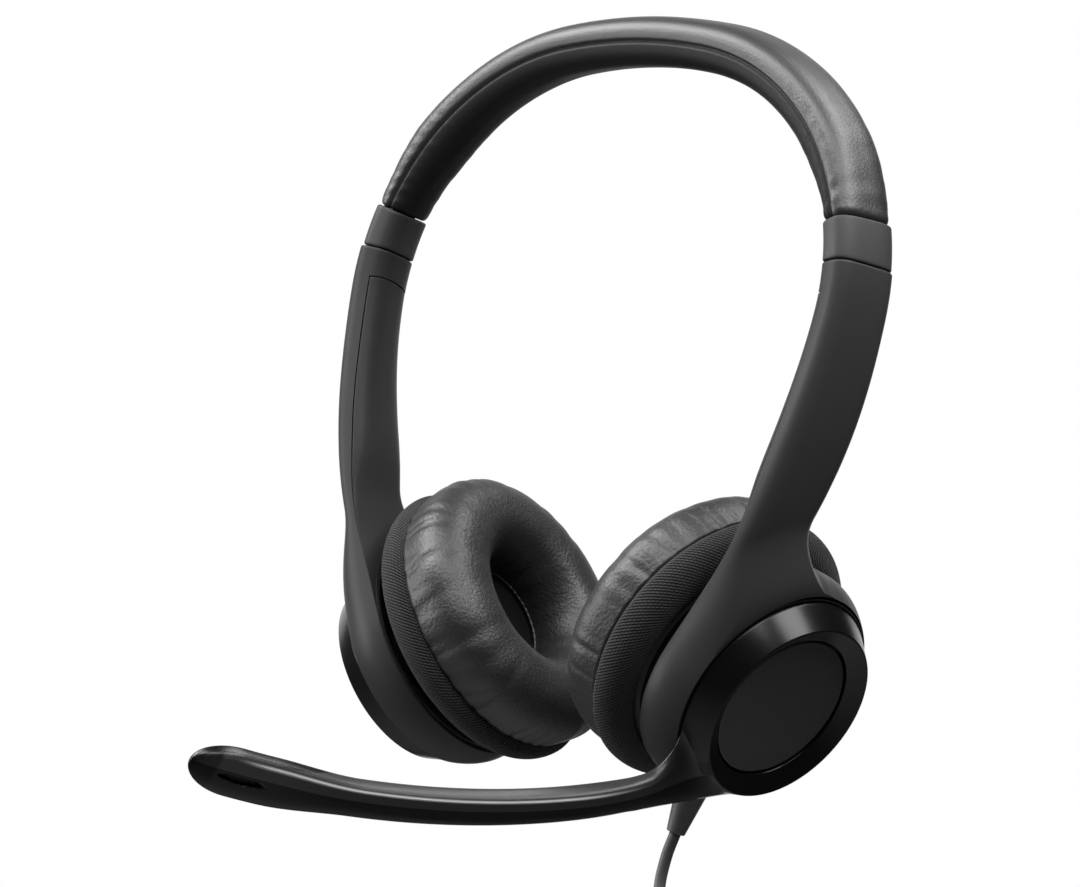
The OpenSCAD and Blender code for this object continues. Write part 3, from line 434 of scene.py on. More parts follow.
def make_materials():
    """All finishes by key. The numbers are roughness, cells or grain in a metre, the bump's strength and
    depth, and the swing of the roughness."""
    c = bpy.context.scene.headset_colours
    pebble, mould, knit = pebble_group(), mould_group(), knit_group()

    def pebbled(name, colour, rough, cells, *bump, **more):
        return shaded(name, colour, rough, pebble, {"Cells": cells}, *bump, **more)

    def moulded(name, colour, rough, grain, *bump, **more):
        return shaded(name, colour, rough, mould, {"Grain": grain}, *bump, **more)

    def darker(colour, share):
        return [share * x for x in colour]

    MATERIALS.update(
        leatherette=pebbled("Leatherette", c.leatherette, 0.46, 1400.0, 0.26, 0.0002, 0.25, specular=0.9),
        cushion=pebbled("Leatherette, cushions", darker(c.leatherette, 0.8), 0.48, 1150.0, 0.55, 0.0002, 0.25,
                        specular=0.75),
        # Painted shade: a darker, less shiny copy of the leatherette for the band's inside, which faces away
        # from the light.
        leatherette_inner=pebbled("Leatherette, inside of the band, painted shade", darker(c.leatherette, 0.7), 0.5, 1500.0,
                                  0.16, 0.0002, 0.25, specular=0.2),
        arm=moulded("Satin arm plastic", c.arm, 0.42, 5200.0, 0.06, 0.00004, 0.3, specular=0.16),
        collar=moulded("Matte collar plastic", c.collar, 0.52, 3600.0, 0.2, 0.00006, 0.3, specular=0.35),
        ring=moulded("Polished ring", c.ring, 0.24, 300.0, 0.01, 0.00002, 0.1, specular=0.3),
        disc=moulded("Polished disc", c.disc, 0.12, 300.0, 0.01, 0.00002, 0.1),
        boom=boom_finish("Satin boom plastic", c.arm, c.arm, c.boom_under, darker(c.arm, 0.4), mould, 0.35),
        boom_under=boom_finish("Boom's lower shell", c.boom_under, darker(c.arm, 0.5), c.boom_under, c.ring,
                               mould, 0.12),
        knit=shaded("Rib knit", c.knit, 0.85, knit, None, 0.9, 0.0003, 0.0, "UV", specular=0.1, sheen=0.1),
        cloth=pebbled("Ear cloth", (0.005, 0.005, 0.005), 0.95, 2600.0, 0.6, 0.0003, specular=0.1),
        cord=moulded("Cord sheath", c.cord, 0.5, 2600.0, 0.12, 0.00005, 0.3),
        inner=moulded("Inner moulding", (0.008, 0.008, 0.008), 0.55, 3000.0, 0.15, 0.00005, 0.3),
        steel=moulded("Strip steel", (0.3, 0.3, 0.31), 0.45, 2400.0, 0.08, 0.00003, 0.5, metallic=1.0),
        acetal=moulded("Natural acetal", (0.7, 0.7, 0.67), 0.4, 3000.0, 0.1, 0.00004, 0.3),
        film=moulded("Speaker film", (0.6, 0.55, 0.35), 0.3, 3000.0, 0.1, 0.00004, 0.3),
        foam=pebbled("Foam", (0.1, 0.1, 0.1), 0.95, 1800.0, 0.6, 0.0004),
        mesh=pebbled("Microphone mesh", (0.004, 0.004, 0.004), 0.7, 4000.0, 0.5, 0.0001),
    )


# Where the record's slots get their finish from
SLOT_FINISH = {
    "spring_steel": "steel", "carrier": "inner", "foam": "foam", "leatherette": "leatherette",
    "collar_plastic": "collar", "arm_plastic": "arm", "cover_plastic": "arm", "small_steel": "steel",
    "inner_plastic": "inner", "acetal": "acetal", "speaker_frame": "inner", "magnet": "steel", "film": "film",
    "cloth": "cloth", "knit": "knit", "disc_gloss": "disc", "ring_gloss": "ring", "boom_plastic": "boom",
    "boom_under": "boom_under", "microphone": "steel", "mic_mesh": "mesh", "cord_rubber": "cord",
    "plug_plastic": "inner", "plug_steel": "steel", "tongue_plastic": "acetal",
}


def dress_nodes():
    """Every solid gets the finish of its slot, since some of them still show."""
    slots = {s["node"]: s["material_slot"] for s in frame["record"]["subparts"]}
    for name, node in frame["nodes"].items():
        node.data.materials.clear()
        node.data.materials.append(MATERIALS[SLOT_FINISH[slots[name]]])


def add_piece(name, grids, look, body, slot, *nodes, **more):
    """A piece with its finish, on its body and in place of the named solids. Its slot is not used."""
    piece = make_piece(name, grids, material=MATERIALS[look], **more)
    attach(piece, body)
    if nodes:
        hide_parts(*nodes)
    return piece


# Headband

# The pad's thickness at its ends, the length over which it thins, and the length and depth of its tucked ends
PAD_END_T, PAD_THIN_L, TUCK_L, TUCK_IN = 9.0, 22.0, 2.0, 1.1
# Depth and half width of the sunk seam, and heights of the puckers, ripples and slow swells of the skin
SEAM_DEPTH, SEAM_HALF, PUCKER_H, RIPPLE_H, SWELL_H = 0.75, 0.5, 0.13, 0.04, 0.03
# The puckers start this far before the collar and grow over this length
PUCKER_FROM, PUCKER_RUN = 46.0, 40.0
COLLAR_EDGE = 0.55


def pad_half_t(s):
    """Half thickness of the pad, thinning out towards the collars."""
    return mix(PAD_T, PAD_END_T, ease((np.abs(s) - PAD_S + PAD_THIN_L) / PAD_THIN_L)) / 2


def pad_surface(width, half):
    """The padded band: a full oval carried along the arcs. It sinks in at the two side seams, puckers
    along them near the collars, and tucks in at each end. half is 1 for the outer, -1 for the inner side."""
    end = spaced((0, 0), (0.4, 6), (2.0, 8), (10, 24), (30, 40), (PAD_S, 76))
    s = np.concatenate([end - PAD_S, (PAD_S - end)[::-1][1:]])[:, None]
    x = np.linspace(0, 1, 57)
    theta = half * np.pi * (0.5 - 0.5 * np.cos(np.pi * x))[None]
    tuck = 1 - np.sqrt(np.clip(1 - (1 - np.clip((PAD_S - np.abs(s)) / TUCK_L, 0, 1)) ** 2, 0, 1))
    w, t = width / 2 - TUCK_IN * tuck, pad_half_t(s) - TUCK_IN * tuck
    p, q = superellipse(theta, w, t, PAD_POWER)
    n_p, n_q = outward(p, q, w, t, PAD_POWER)
    rim = np.abs(q)
    groove = -SEAM_DEPTH * np.exp(-(rim / SEAM_HALF) ** 2)
    near = ease((np.abs(s) - PAD_S + PUCKER_FROM) / PUCKER_RUN)
    pucker = hills(s + 0.5 * q, 3, 5, 3.2, 7.5) * np.exp(-rim / 3.2) * (1 - np.exp(-(rim / 0.8) ** 2))
    ripple = hills(s + 0.35 * p, 8, 5, 5.0, 12.0) * ease(rim / 3)
    drawn = near * (PUCKER_H * pucker + RIPPLE_H * ripple) * (1 - tuck)
    d = groove + drawn + SWELL_H * hills(s, 5, 4, 18, 40)
    g = band_point(s, p + d * n_p, q + d * n_q)
    mid = band_point(s[[0, -1]], 0 * theta, 0 * theta)
    return np.concatenate([mid[:1], g, mid[1:]])


def tube_surface(place, along, section, edge):
    """A closed oval tube along a path, its end edges rounded over edge and its ends closed to the middle."""
    a, b = along
    down, inward = edge * (1 - np.cos(QUARTER)), edge * (1 - np.sin(QUARTER))
    s = np.concatenate([a + down, np.linspace(a + edge, b - edge, 14)[1:-1], b - down[::-1]])
    inset = np.concatenate([inward, np.zeros(12), inward[::-1]])[:, None]
    p, q = section(inset)
    g = place(s[:, None], p, q)
    mid = place(s[[0, -1]][:, None], 0 * p[:1], 0 * p[:1])
    return np.concatenate([mid[:1], g, mid[1:]])


class HEADSET_OT_headband(bpy.types.Operator):
    """Padded headband in leatherette with its two plastic collars"""
    bl_idname = "headset.headband"
    bl_label = "Headband"

    def execute(self, context):
        size = context.scene.headset_sizes
        width = size.pad_width * 1000
        for half, name, look, *nodes in (
                (1, "pad_outer", "leatherette", "headband_wrap_outer", "headband_wadding"),
                (-1, "pad_inner", "leatherette_inner", "headband_wrap_inner", "headband_foam")):
            skin = pad_surface(width, half)
            pad = add_piece(name, [skin], look, "headband", "leatherette", *nodes, sharp=60)
        theta = np.linspace(0, 2 * np.pi, 97)[None]

        def oval(inset):
            return superellipse(theta, ARM_W0 / 2 - inset, ARM_T / 2 - inset, ARM_POWER)

        collar = tube_surface(band_point, (COLLAR_S, COLLAR_S + COLLAR_L), oval, COLLAR_EDGE)
        for side in (1, -1):
            add_piece(side_name("band_collar", side), [collar], "collar", "headband", "collar_plastic",
                      side_name("collar", side), mirror=side < 0, sharp=50)
        return {"FINISHED"}


# Arms and bowls

def above_axis(l):
    return NECK_REACH + LEN_ARM - l


def half_w(l):
    return mix(ARM_W0, ARM_W1, ease(l / 40)) / 2


def back_edge(l):
    """Back edge of the arm: half the width, then a round fillet out to the bowl."""
    d = np.maximum(0, FILLET_V - np.maximum(FILLET_END, above_axis(l)))
    return half_w(l) + FILLET - np.sqrt(FILLET ** 2 - d * d)


def front_edge(l):
    """Front edge of the arm: straight down until it runs into the bowl's side."""
    return -mix(half_w(l), BOWL_R - CUP_BACK, ease((l - 45) / 40))


def mid_height(l):
    """Height at which the arm's outer skin and its inside meet."""
    return mix(0, RIM_H - NECK_LIFT, ease((l - 40) / 30))


def outer_face(p, v):
    """Height of the arm's outer face: flat with a slight crown, then a flare up to the lip round the ring."""
    away = np.hypot(p - CUP_BACK, v) - LIP_R
    flat = ARM_T / 2 + 0.3 * (1 - np.clip(2 * p / ARM_W1, -1, 1) ** 2) * ease((v - 25) / 20)
    return mix(FACE_H + BOWL_LIP - NECK_LIFT, flat, ease(away / FLARE_L))


# Hollow in the arm's inside for the speaker's swing: its depth, and the heights above the cup's axis that it
# starts at and is full from
SWING_DEPTH, SWING_TOP, SWING_FULL = 0.8, 46.0, 34.0


def inner_section(l, phi, inset=0.0):
    """Inside of the arm's section: half of a superellipse between the two edges, phi running from the front
    edge (pi) to the back edge (2 pi). Near the bowl it is hollowed for the speaker's swing."""
    c, s = np.cos(phi), np.sin(phi)
    r = (np.abs(c) ** ARM_POWER + np.abs(s) ** ARM_POWER) ** (-1 / ARM_POWER)
    f, b = front_edge(l) + inset, back_edge(l) - inset
    hollow = SWING_DEPTH * ease((SWING_TOP - above_axis(l)) / (SWING_TOP - SWING_FULL))
    low = mix(-ARM_T / 2, RIM_H - NECK_LIFT - 1.2, ease((l - 40) / 30)) + inset + hollow
    mid = mid_height(l)
    return (f + b) / 2 + r * c * (b - f) / 2, mid - r * s * (low - mid)


SEAM_FRONT, SEAM_BACK = math.radians(193), math.radians(347)
SLEEVE_EDGE = 0.55
CORNER_P, CORNER_POWER = 5.0, 2 / 3.0
# Height above the cup's axis from which the skin's lines across the arm spread out round the lip
SPREAD_V = 48.0
# The bowl's bulged skirt and its wall, and the roundings of its lip and rim
SKIRT_POWER, SKIRT_BULGE, BOWL_WALL = 2.2, 0.6, 1.8
LIP_ROUND, RIM_ROUND, RIM_DROP = 0.25, 0.9, 0.25
# Radii about the cup's axis that the arm's inside and its cover keep out of, low down and high up
INSIDE_CLEAR, COVER_CLEAR = (28.9, 27.5), (29.6, 29.6)
# How far the arm's inside is sunk under the cover, the rounding of the cover's edges, and in radians its gap
# to the seams and the width of a rounded edge
COVER_SUNK, COVER_ROUND, COVER_GAP, COVER_ROLL = 0.7, 0.42, 0.035, 0.1


def arch_of(phi):
    """How far below the sleeve the cover's arched top runs, by place across the inside."""
    x = np.cos(phi)
    inside = 0.25 + 0.9 * (x + 0.25) ** 2
    away = np.maximum(SEAM_FRONT - phi, phi - SEAM_BACK)
    return inside * (1 - ease(away / 0.8))


def keep_out(points, low, high):
    """Points of the arm inside the bowl move straight out, to a radius that goes from low to high with
    height."""
    u, v, h = in_cup(points)
    r = np.hypot(u, v)
    lim = mix(low, high, ease((h - 16) / 8))
    k = np.maximum(1, lim / np.maximum(r, 1e-6))
    return cup_point(u * k, v * k, h)


def arm_rows():
    """Stations down the arm, from the sleeve's rounded top to the level of the cup's axis, and how far the
    rounding sets each one in."""
    top = SLEEVE_EDGE * (1 - np.cos(QUARTER)) - SLEEVE_L
    l = np.concatenate([top, np.linspace(-6.3, -0.4, 12), [0, 0.001], np.linspace(0.6, 40, 60),
                        np.linspace(40.5, LEN_ARM + NECK_REACH, 112)])
    return l, np.concatenate([SLEEVE_EDGE * (1 - np.sin(QUARTER)), np.zeros(len(l) - len(top))])


def arched(l, phi):
    """Stations near the cover's top pulled along its arch."""
    return l + np.where(l < 0, ease(1 + l / 5), ease(1 - l / 7)) * arch_of(phi)


def skin_edge(l):
    """Lower edge of the outer skin as p and v: down the arm's front edge, round the bowl's rim and up the
    back edge. Also gives how much each place belongs to the bowl, the height at which the skin starts, the
    angles round the bowl and the stations of the back edge."""
    back = l[above_axis(l) >= FILLET_END]
    front_l, back_l = arched(l, np.pi), arched(back, 2 * np.pi)[::-1]
    join = math.atan2(FILLET_END, back_edge(back[-1]) - CUP_BACK)
    turn = np.radians(np.arange(181.5, 360 + math.degrees(join), 1.5))
    proud = math.hypot(FILLET_END, back_edge(back[-1]) - CUP_BACK) - BOWL_R
    radius = BOWL_R + proud * ease(1 - (2 * np.pi + join - turn) / math.radians(12))
    p = np.concatenate([front_edge(front_l), CUP_BACK + radius * np.cos(turn), back_edge(back_l)])
    v = np.concatenate([above_axis(front_l), radius * np.sin(turn), above_axis(back_l)])
    bowl = np.concatenate([1 - ease(above_axis(l) / 26), np.ones(len(turn)),
                           1 - ease((above_axis(back_l) - FILLET_END) / 18)])
    mid = np.concatenate([mid_height(front_l), np.full(len(turn), RIM_H - NECK_LIFT), mid_height(back_l)])
    return p, v, bowl, mid, turn, back


def skin_spine(l, turn, back):
    """Upper edge of the outer skin as p and v: down the arm's middle line to the lip, once round the lip and
    back up the middle line."""
    top = math.sqrt(LIP_R ** 2 - CUP_BACK ** 2)
    top_turn = math.atan2(top, -CUP_BACK)
    v = above_axis(l)
    share = np.clip(v / SPREAD_V, 0, 1)
    share_back = np.clip((v[:len(back)] - FILLET_END) / (SPREAD_V - FILLET_END), 0, 1)[::-1]
    angle = np.concatenate([mix(np.pi, top_turn, share), turn,
                            mix(turn[-1] - 2 * np.pi, top_turn, share_back)])
    middle = v - (SPREAD_V - top) * (1 - ease((v - SPREAD_V) / (v[20] - SPREAD_V)))
    high = np.concatenate([v, np.zeros(len(turn)), v[:len(back)][::-1]]) >= SPREAD_V
    height = np.concatenate([middle, 0 * turn, middle[:len(back)][::-1]])
    return np.where(high, 0, CUP_BACK + LIP_R * np.cos(angle)), np.where(high, height, LIP_R * np.sin(angle))


def arm_skin():
    """Outer skin of arm and bowl as one strip from its lower edge to its spine. Each line across it climbs a
    wall, whose profile turns from the arm's rounded corner into the bowl's bulged skirt, then crosses the
    face."""
    l, inset = arm_rows()
    p, v, bowl, mid, turn, back = skin_edge(l)
    to_p, to_v = (x[:, None] for x in skin_spine(l, turn, back))
    inset = np.concatenate([inset, 0 * turn, inset[:len(back)][::-1]])[:, None]
    run = np.stack([np.gradient(p), np.gradient(v)])
    run /= np.linalg.norm(run, axis=0)
    k = np.linspace(0, np.pi / 2, 24)[None]
    t = np.linspace(0, 1, 24)[None]
    bowl, mid = bowl[:, None], mid[:, None]
    corner = 1 - np.cos(k) ** CORNER_POWER
    skirt = (BOWL_R - LIP_R) * t ** SKIRT_POWER - SKIRT_BULGE * np.sin(np.pi * t)
    climb = mix(np.sin(k) ** CORNER_POWER, t, bowl)
    reach = mix(CORNER_P * corner, skirt, bowl) + inset
    wall_p, wall_v = p[:, None] - run[1][:, None] * reach, v[:, None] + run[0][:, None] * reach
    w = np.linspace(0, 1, 18)[None, 1:]
    all_p = np.concatenate([wall_p, mix(wall_p[:, -1:], to_p, w)], 1)
    all_v = np.concatenate([wall_v, mix(wall_v[:, -1:], to_v, w)], 1)
    climb = np.concatenate([climb, np.ones((len(p), w.shape[1]))], 1)
    q = mid + (outer_face(all_p, all_v) - inset - mid) * climb
    g = arm_point(LEN_ARM + NECK_REACH - all_v, all_p, q)
    end = np.broadcast_to(arm_point(l[:1, None], np.zeros((1, 1)), np.zeros((1, 1))), g[:1].shape)
    return np.concatenate([end, g, end])


def arm_inside():
    """Inside of the arm, sunk between the two seams to take the arched cover, and clear of the bowl."""
    l, inset = arm_rows()
    l, inset = l[:, None], inset[:, None]
    phi = np.concatenate([np.linspace(np.pi, SEAM_FRONT, 8), np.linspace(SEAM_FRONT, SEAM_BACK, 70),
                          np.linspace(SEAM_BACK, 2 * np.pi, 8)])[None]
    sunk = np.concatenate([np.zeros(8), np.ones(70), np.zeros(8)])[None] * (l > 0.0005)
    at = arched(l, phi)
    p, q = inner_section(at, phi, inset + COVER_SUNK * sunk)
    g = keep_out(arm_point(at, p, q), *INSIDE_CLEAR)
    end = np.broadcast_to(arm_point(l[:1], 0 * phi, 0 * phi), g[:1].shape)
    return np.concatenate([end, g])


def cover_surface():
    """Inner cover of the arm: the section's inside between the two seams, its edges rolled into the gap."""
    edge = np.array([0, 0.02, 0.06, 0.12, 0.2, 0.3, COVER_ROUND])
    roll = COVER_ROUND - np.sqrt(np.maximum(0, COVER_ROUND ** 2 - (COVER_ROUND - edge) ** 2))
    span = np.linspace(0, 1, 62)[1:-1]
    a, b = SEAM_FRONT + COVER_GAP, SEAM_BACK - COVER_GAP
    k = COVER_ROLL / COVER_ROUND
    flat = mix(a + COVER_ROLL, b - COVER_ROLL, span)
    phi = np.concatenate([a + k * edge, flat, (b - k * edge)[::-1]])[None]
    down = np.concatenate([roll, 0 * span, roll[::-1]])[None]
    l = np.concatenate([0.22 + edge, np.linspace(0.9, LEN_ARM + NECK_REACH - 2, 140)])[:, None]
    fall = np.concatenate([roll, np.zeros(140)])[:, None]
    at = arched(l, phi)
    p, q = inner_section(at, phi, 0.04 + np.maximum(down, fall))
    return keep_out(arm_point(at, p, q), *COVER_CLEAR)


def bowl_profiles():
    """Bowl in radius and height, without its outer skirt: the lip and the ring's recess, then the inner wall
    down to the rounded rim."""
    t = np.linspace(0, 1, 40)
    skirt = mix(BOWL_R, LIP_R, t ** SKIRT_POWER) + SKIRT_BULGE * np.sin(np.pi * t)
    wall = np.stack([skirt - BOWL_WALL, mix(RIM_H, FACE_H - BOWL_WALL, t)], -1)
    c, s = np.cos(QUARTER), np.sin(QUARTER)
    top = FACE_H + BOWL_LIP
    lip = np.stack([RECESS_R + LIP_ROUND - LIP_ROUND * s, top - LIP_ROUND + LIP_ROUND * c], -1)
    rim = np.stack([BOWL_R - RIM_ROUND + RIM_ROUND * s, RIM_H - RIM_DROP * c], -1)
    return (np.concatenate([[[LIP_R, top]], lip, [[RECESS_R, FACE_H], [0, FACE_H]]]),
            np.concatenate([[[0, FACE_H - BOWL_WALL]], wall[::-1], rim]))


class HEADSET_OT_arms(bpy.types.Operator):
    """Sliding arms, each one surface from its sleeve to its bowl, with their inner covers"""
    bl_idname = "headset.arms"
    bl_label = "Arms"

    def execute(self, context):
        bowl = [cup_point(*turned(profile, 240)) for profile in bowl_profiles()]
        for side in (1, -1):
            body = side_name("slider", side)
            add_piece(side_name("arm", side), [arm_skin(), arm_inside(), *bowl], "arm", body, "arm_plastic",
                      side_name("arm_shell", side), side_name("sleeve", side), mirror=side < 0, sharp=48)
            add_piece(side_name("cover", side), [cover_surface()], "arm", body, "cover_plastic",
                      side_name("arm_cover", side), mirror=side < 0)
        return {"FINISHED"}


# Ear cushions

CUSHION_MID, CUSHION_IN, SEAM_R, CUSHION_OUT, CROWN_H = 23.5, 13.5, 34.0, 36.2, 15.4
# Power of the cushion's section, height of its slow swells and creases, and the seed of each side's gathers
CUSHION_POWER, CREASE_H, CUSHION_SEEDS = 0.8, 0.07, {1: 11, -1: 23}
# Knit side: foot, widest radius and its height, half sizes of the oval behind it, bore and the bore's step
KNIT_FOOT, KNIT_R, KNIT_H, KNIT_OVAL_R, KNIT_OVAL_H = 0.4, 35.7, 2.8, 6.1, 6.6
KNIT_BORE, KNIT_STEP_R, KNIT_STEP_H = 29.1, 31.3, 1.8
# Points round the knit side, how many ribs it slants by in a millimetre, and the height of a course
KNIT_COUNT, KNIT_SLANT, COURSE_H = 288, 0.9, 0.8
# Cloth in the hole: its radius, the height of its edge, its dome and its back
HOLE_R, CLOTH_EDGE, CLOTH_DOME, CLOTH_BACK = 13.1, 0.25, 0.35, 0.2
# Welt round the hole: radius, height, radius of its tube, ripple and stitches
WELT_R, WELT_H, WELT_TUBE, WELT_RIPPLE, WELT_STITCHES = 13.25, 1.1, 0.34, 0.07, 48


def gathers_of(a, f, count, seed):
    """Depth of the gathers at angle a round the cup and f degrees up the section, 0 to about 1: soft valleys
    at uneven places along the seam, each with its own width, depth, slant and reach towards the crown."""
    rng = np.random.default_rng(seed)
    at = 2 * np.pi * (np.arange(count) + rng.uniform(-0.36, 0.36, count)) / count
    wide = rng.uniform(0.8, 1.6, count) / CUSHION_OUT
    deep = rng.uniform(0.2, 1.0, count)
    slant = rng.uniform(-0.0012, 0.0022, count)
    reach = rng.uniform(30, 70, count)
    off = (a[..., None] - at - slant * f[..., None] + np.pi) % (2 * np.pi) - np.pi
    spread = wide * (1 + f[..., None] / 60)
    bell = np.exp(-(off / spread) ** 2 - (f[..., None] / reach) ** 2)
    return (deep * bell).sum(-1)


def cushion_surface(gathers, depth, seed):
    """Leatherette ring: a crowned oval section turned about the cup's axis, drawn into gathers along its sewn
    outer edge, with slow swells round the crown and faint creases at the hole."""
    f = np.radians(spaced((0, 0), (20, 18), (110, 50), (180, 30)))[None]
    a = np.linspace(0, 2 * np.pi, 721)[:, None]
    c = np.sign(np.cos(f)) * np.abs(np.cos(f)) ** CUSHION_POWER
    s = np.sin(f) ** CUSHION_POWER
    swell = mix(SEAM_R - CUSHION_MID, CUSHION_OUT - CUSHION_MID, np.sin(np.minimum(2.2 * f, np.pi / 2)))
    r = CUSHION_MID + np.where(c > 0, swell * c, (CUSHION_MID - CUSHION_IN) * c)
    reach = np.degrees(f)
    drawn = gathers_of(a, reach, gathers, seed) * mix(0.7, 1, ease(reach / 12))
    waves = np.cos(7 * a + 2 * f + seed) + 0.6 * np.cos(11 * a - f)
    slow = np.exp(-((reach - 75) / 45) ** 2) * waves * CREASE_H
    creases = sum(np.cos(n * a + n * seed) for n in (9, 14, 19))
    hole = np.exp(-((reach - 160) / 22) ** 2) * creases * CREASE_H
    d = depth * (0.3 * np.exp(-(reach / 30) ** 2) - drawn) + slow + hole
    nr, nh = np.cos(f), -np.sin(f)
    g = cup_point((r + d * nr) * np.cos(a), (r + d * nr) * np.sin(a), -CROWN_H * s + d * nh + 0 * a)
    foot = np.array([CUSHION_IN, CUSHION_MID - 0.5])[None]
    return np.concatenate([g, cup_point(foot * np.cos(a), foot * np.sin(a), 0.15), g[:, :1]], 1)


def knit_profile():
    """Outline of the knit side as radius and height: it swells out from the seam, rounds off in a quarter
    oval behind the housing and comes back down its stepped bore."""
    k = np.linspace(0, np.pi / 2, 14)
    swell = np.stack([mix(SEAM_R, KNIT_R, np.sin(k)), mix(KNIT_FOOT, KNIT_H, k / k[-1])], -1)
    k = np.linspace(0, np.pi / 2, 30)[1:]
    back = np.stack([KNIT_R - KNIT_OVAL_R + KNIT_OVAL_R * np.cos(k), KNIT_H + KNIT_OVAL_H * np.sin(k)], -1)
    bore = [[KNIT_BORE, KNIT_H + KNIT_OVAL_H], [KNIT_BORE, KNIT_STEP_H], [KNIT_STEP_R, KNIT_STEP_H],
            [KNIT_STEP_R, KNIT_FOOT]]
    return np.concatenate([swell, back, bore, swell[:1]])


def knit_uv(outline, ribs):
    """UV counted in ribs round the knit side, which slant, and in courses along its outline."""
    run = np.concatenate([[0], np.cumsum(np.hypot(*np.diff(outline, axis=0).T))])[None]
    u = np.linspace(0, ribs, KNIT_COUNT + 1)[:, None] + KNIT_SLANT * run
    return np.stack(np.broadcast_arrays(u, run / COURSE_H), -1)


def cloth_profile():
    """Cloth in the cushion's hole as radius and height: a slight dome with a flat back."""
    r = np.linspace(0, HOLE_R, 24)
    dome = np.stack([r, -CLOTH_EDGE - CLOTH_DOME * (1 - (r / HOLE_R) ** 2)], -1)
    return np.concatenate([dome, [[HOLE_R, CLOTH_BACK], [0, CLOTH_BACK]]])


def hole_welt():
    """Sewn welt round the hole's floor: a thin ring whose height ripples with its stitches."""
    a = np.linspace(0, 2 * np.pi, 289)[:, None]
    k = np.linspace(0, 2 * np.pi, 13)[None]
    tube = WELT_TUBE + WELT_RIPPLE * np.cos(WELT_STITCHES * a)
    r = WELT_R + tube * np.cos(k)
    return cup_point(r * np.cos(a), r * np.sin(a), -WELT_H - tube * np.sin(k))


class HEADSET_OT_cushions(bpy.types.Operator):
    """Ear cushions: gathered leatherette ring, ribbed knit side, cloth in the hole"""
    bl_idname = "headset.cushions"
    bl_label = "Ear cushions"

    def execute(self, context):
        size = context.scene.headset_sizes
        for side in (1, -1):
            body = side_name("earcup", side)
            mirror = side < 0
            skin = cushion_surface(size.gathers, size.gather_depth * 1000, CUSHION_SEEDS[side])
            ring = add_piece(side_name("ear_cushion", side), [skin], "cushion", body, "leatherette",
                             side_name("cushion", side), mirror=mirror)
            outline = knit_profile()
            sleeve = cup_point(*turned(outline, KNIT_COUNT))
            knit = add_piece(side_name("knit_side", side), [sleeve], "knit", body, "knit",
                             side_name("knit", side), uvs=[knit_uv(outline, size.knit_ribs)], mirror=mirror,
                             sharp=60)
            cloth = cup_point(*turned(cloth_profile(), 96))
            add_piece(side_name("hole_cloth", side), [cloth], "cloth", body, "cloth",
                      side_name("ear_cloth", side), mirror=mirror, sharp=50)
            add_piece(side_name("hole_welt", side), [hole_welt()], "cushion", body, "leatherette",
                      mirror=mirror)
        return {"FINISHED"}


# Ring, disc and boom

# Height at which the ring's outer cone starts, its web and funnel, and the disc's edge, dome and foot
CONE_H, WEB_H, FUNNEL_R = FACE_H + 1.5, FACE_H + 2.4, DISC_R + 0.5
DISC_EDGE, DISC_DOME, DISC_FOOT = 0.4, 0.5, FACE_H + 2.8
# Bore and foot of each side's ring: the left one turns on a hub, the right one is fixed
RING_FOOT = {1: (12.06, FACE_H + 0.6), -1: (6.1, FACE_H)}


def ring_profile(bore, base):
    """Ring as radius and height: outer cone up to the crest, funnel down to the disc, web to the bore."""
    return rounded([(bore, base), (RING_R - 0.3, base), (RING_R, base + 0.3), (RING_R, CONE_H, 0.3),
                    (CREST_R, CREST_H, 0.5), (FUNNEL_R, DISC_H + 0.3, 0.2), (FUNNEL_R, WEB_H), (bore, WEB_H),
                    (bore, base)], 7)


def disc_profile():
    """Disc: slightly domed, with a rounded edge."""
    k = np.linspace(0, np.pi / 2, 7)
    r = np.linspace(DISC_R - DISC_EDGE, 0, 24)
    edge = np.stack([DISC_R - DISC_EDGE + DISC_EDGE * np.cos(k),
                     DISC_H - DISC_EDGE + DISC_EDGE * np.sin(k)], -1)
    dome = np.stack([r, DISC_H + DISC_DOME * (1 - (r / DISC_R) ** 2) - 0.02], -1)
    return np.concatenate([[[0, DISC_FOOT], [DISC_R, DISC_FOOT]], edge, dome])


BOOM = np.array([[-6, -20, 27.2], [-27, -38.5, 27.6], [-85, -59.5, 21.5], [-137.5, -64, 4]], float)


def boom_mid(t):
    """Cubic curve of the boom's middle line in the cup's frame."""
    t = np.asarray(t)[..., None]
    s = 1 - t
    return s ** 3 * BOOM[0] + 3 * t * s ** 2 * BOOM[1] + 3 * t * t * s * BOOM[2] + t ** 3 * BOOM[3]


def boom_frame(t):
    """Unit vectors along the boom, down across it and outward."""
    d = unit(boom_mid(t + 0.001) - boom_mid(t - 0.001))
    side = unit(np.cross([0, 0, 1.0], d))
    return d, side, np.cross(d, side)


def boom_half_b(t):
    """Half width of the boom: broad at the root, slim along the stem, broader at the paddle."""
    root = mix(11.0, 4.9, ease(t / 0.25))
    pad = mix(root, 6.2, ease((t - 0.74) / 0.14))
    return pad * np.sqrt(np.clip(1 - np.maximum(0, (t - 0.93) / 0.0705) ** 2, 0, 1))


def boom_half_h(t):
    """Half thickness of the boom, closing in a round at the tip."""
    h = mix(mix(2.3, 3.2, ease((t - 0.15) / 0.2)), 2.9, ease((t - 0.8) / 0.1))
    return h * np.sqrt(np.clip(1 - np.maximum(0, (t - 0.95) / 0.0505) ** 2, 0, 1))


# Across the boom, from -1 below to 1 above: the ridge and the joint of its two shells
RIDGE, SHUT = 0.72, 0.2
# Microphone opening in the outer face: middle and half size along and across the boom
MIC_T, MIC_B, MIC_HALF_T, MIC_HALF_B = 0.925, -0.07, 0.036, 0.15
# Where the neck grows out of the ring, below and above, and where it has become the boom
NECK_LOW, NECK_HIGH, NECK_T = math.radians(290), math.radians(212), 0.22
# Room between the back of the neck and the bowl's lip, over which it turns
NECK_CLEAR = 0.35
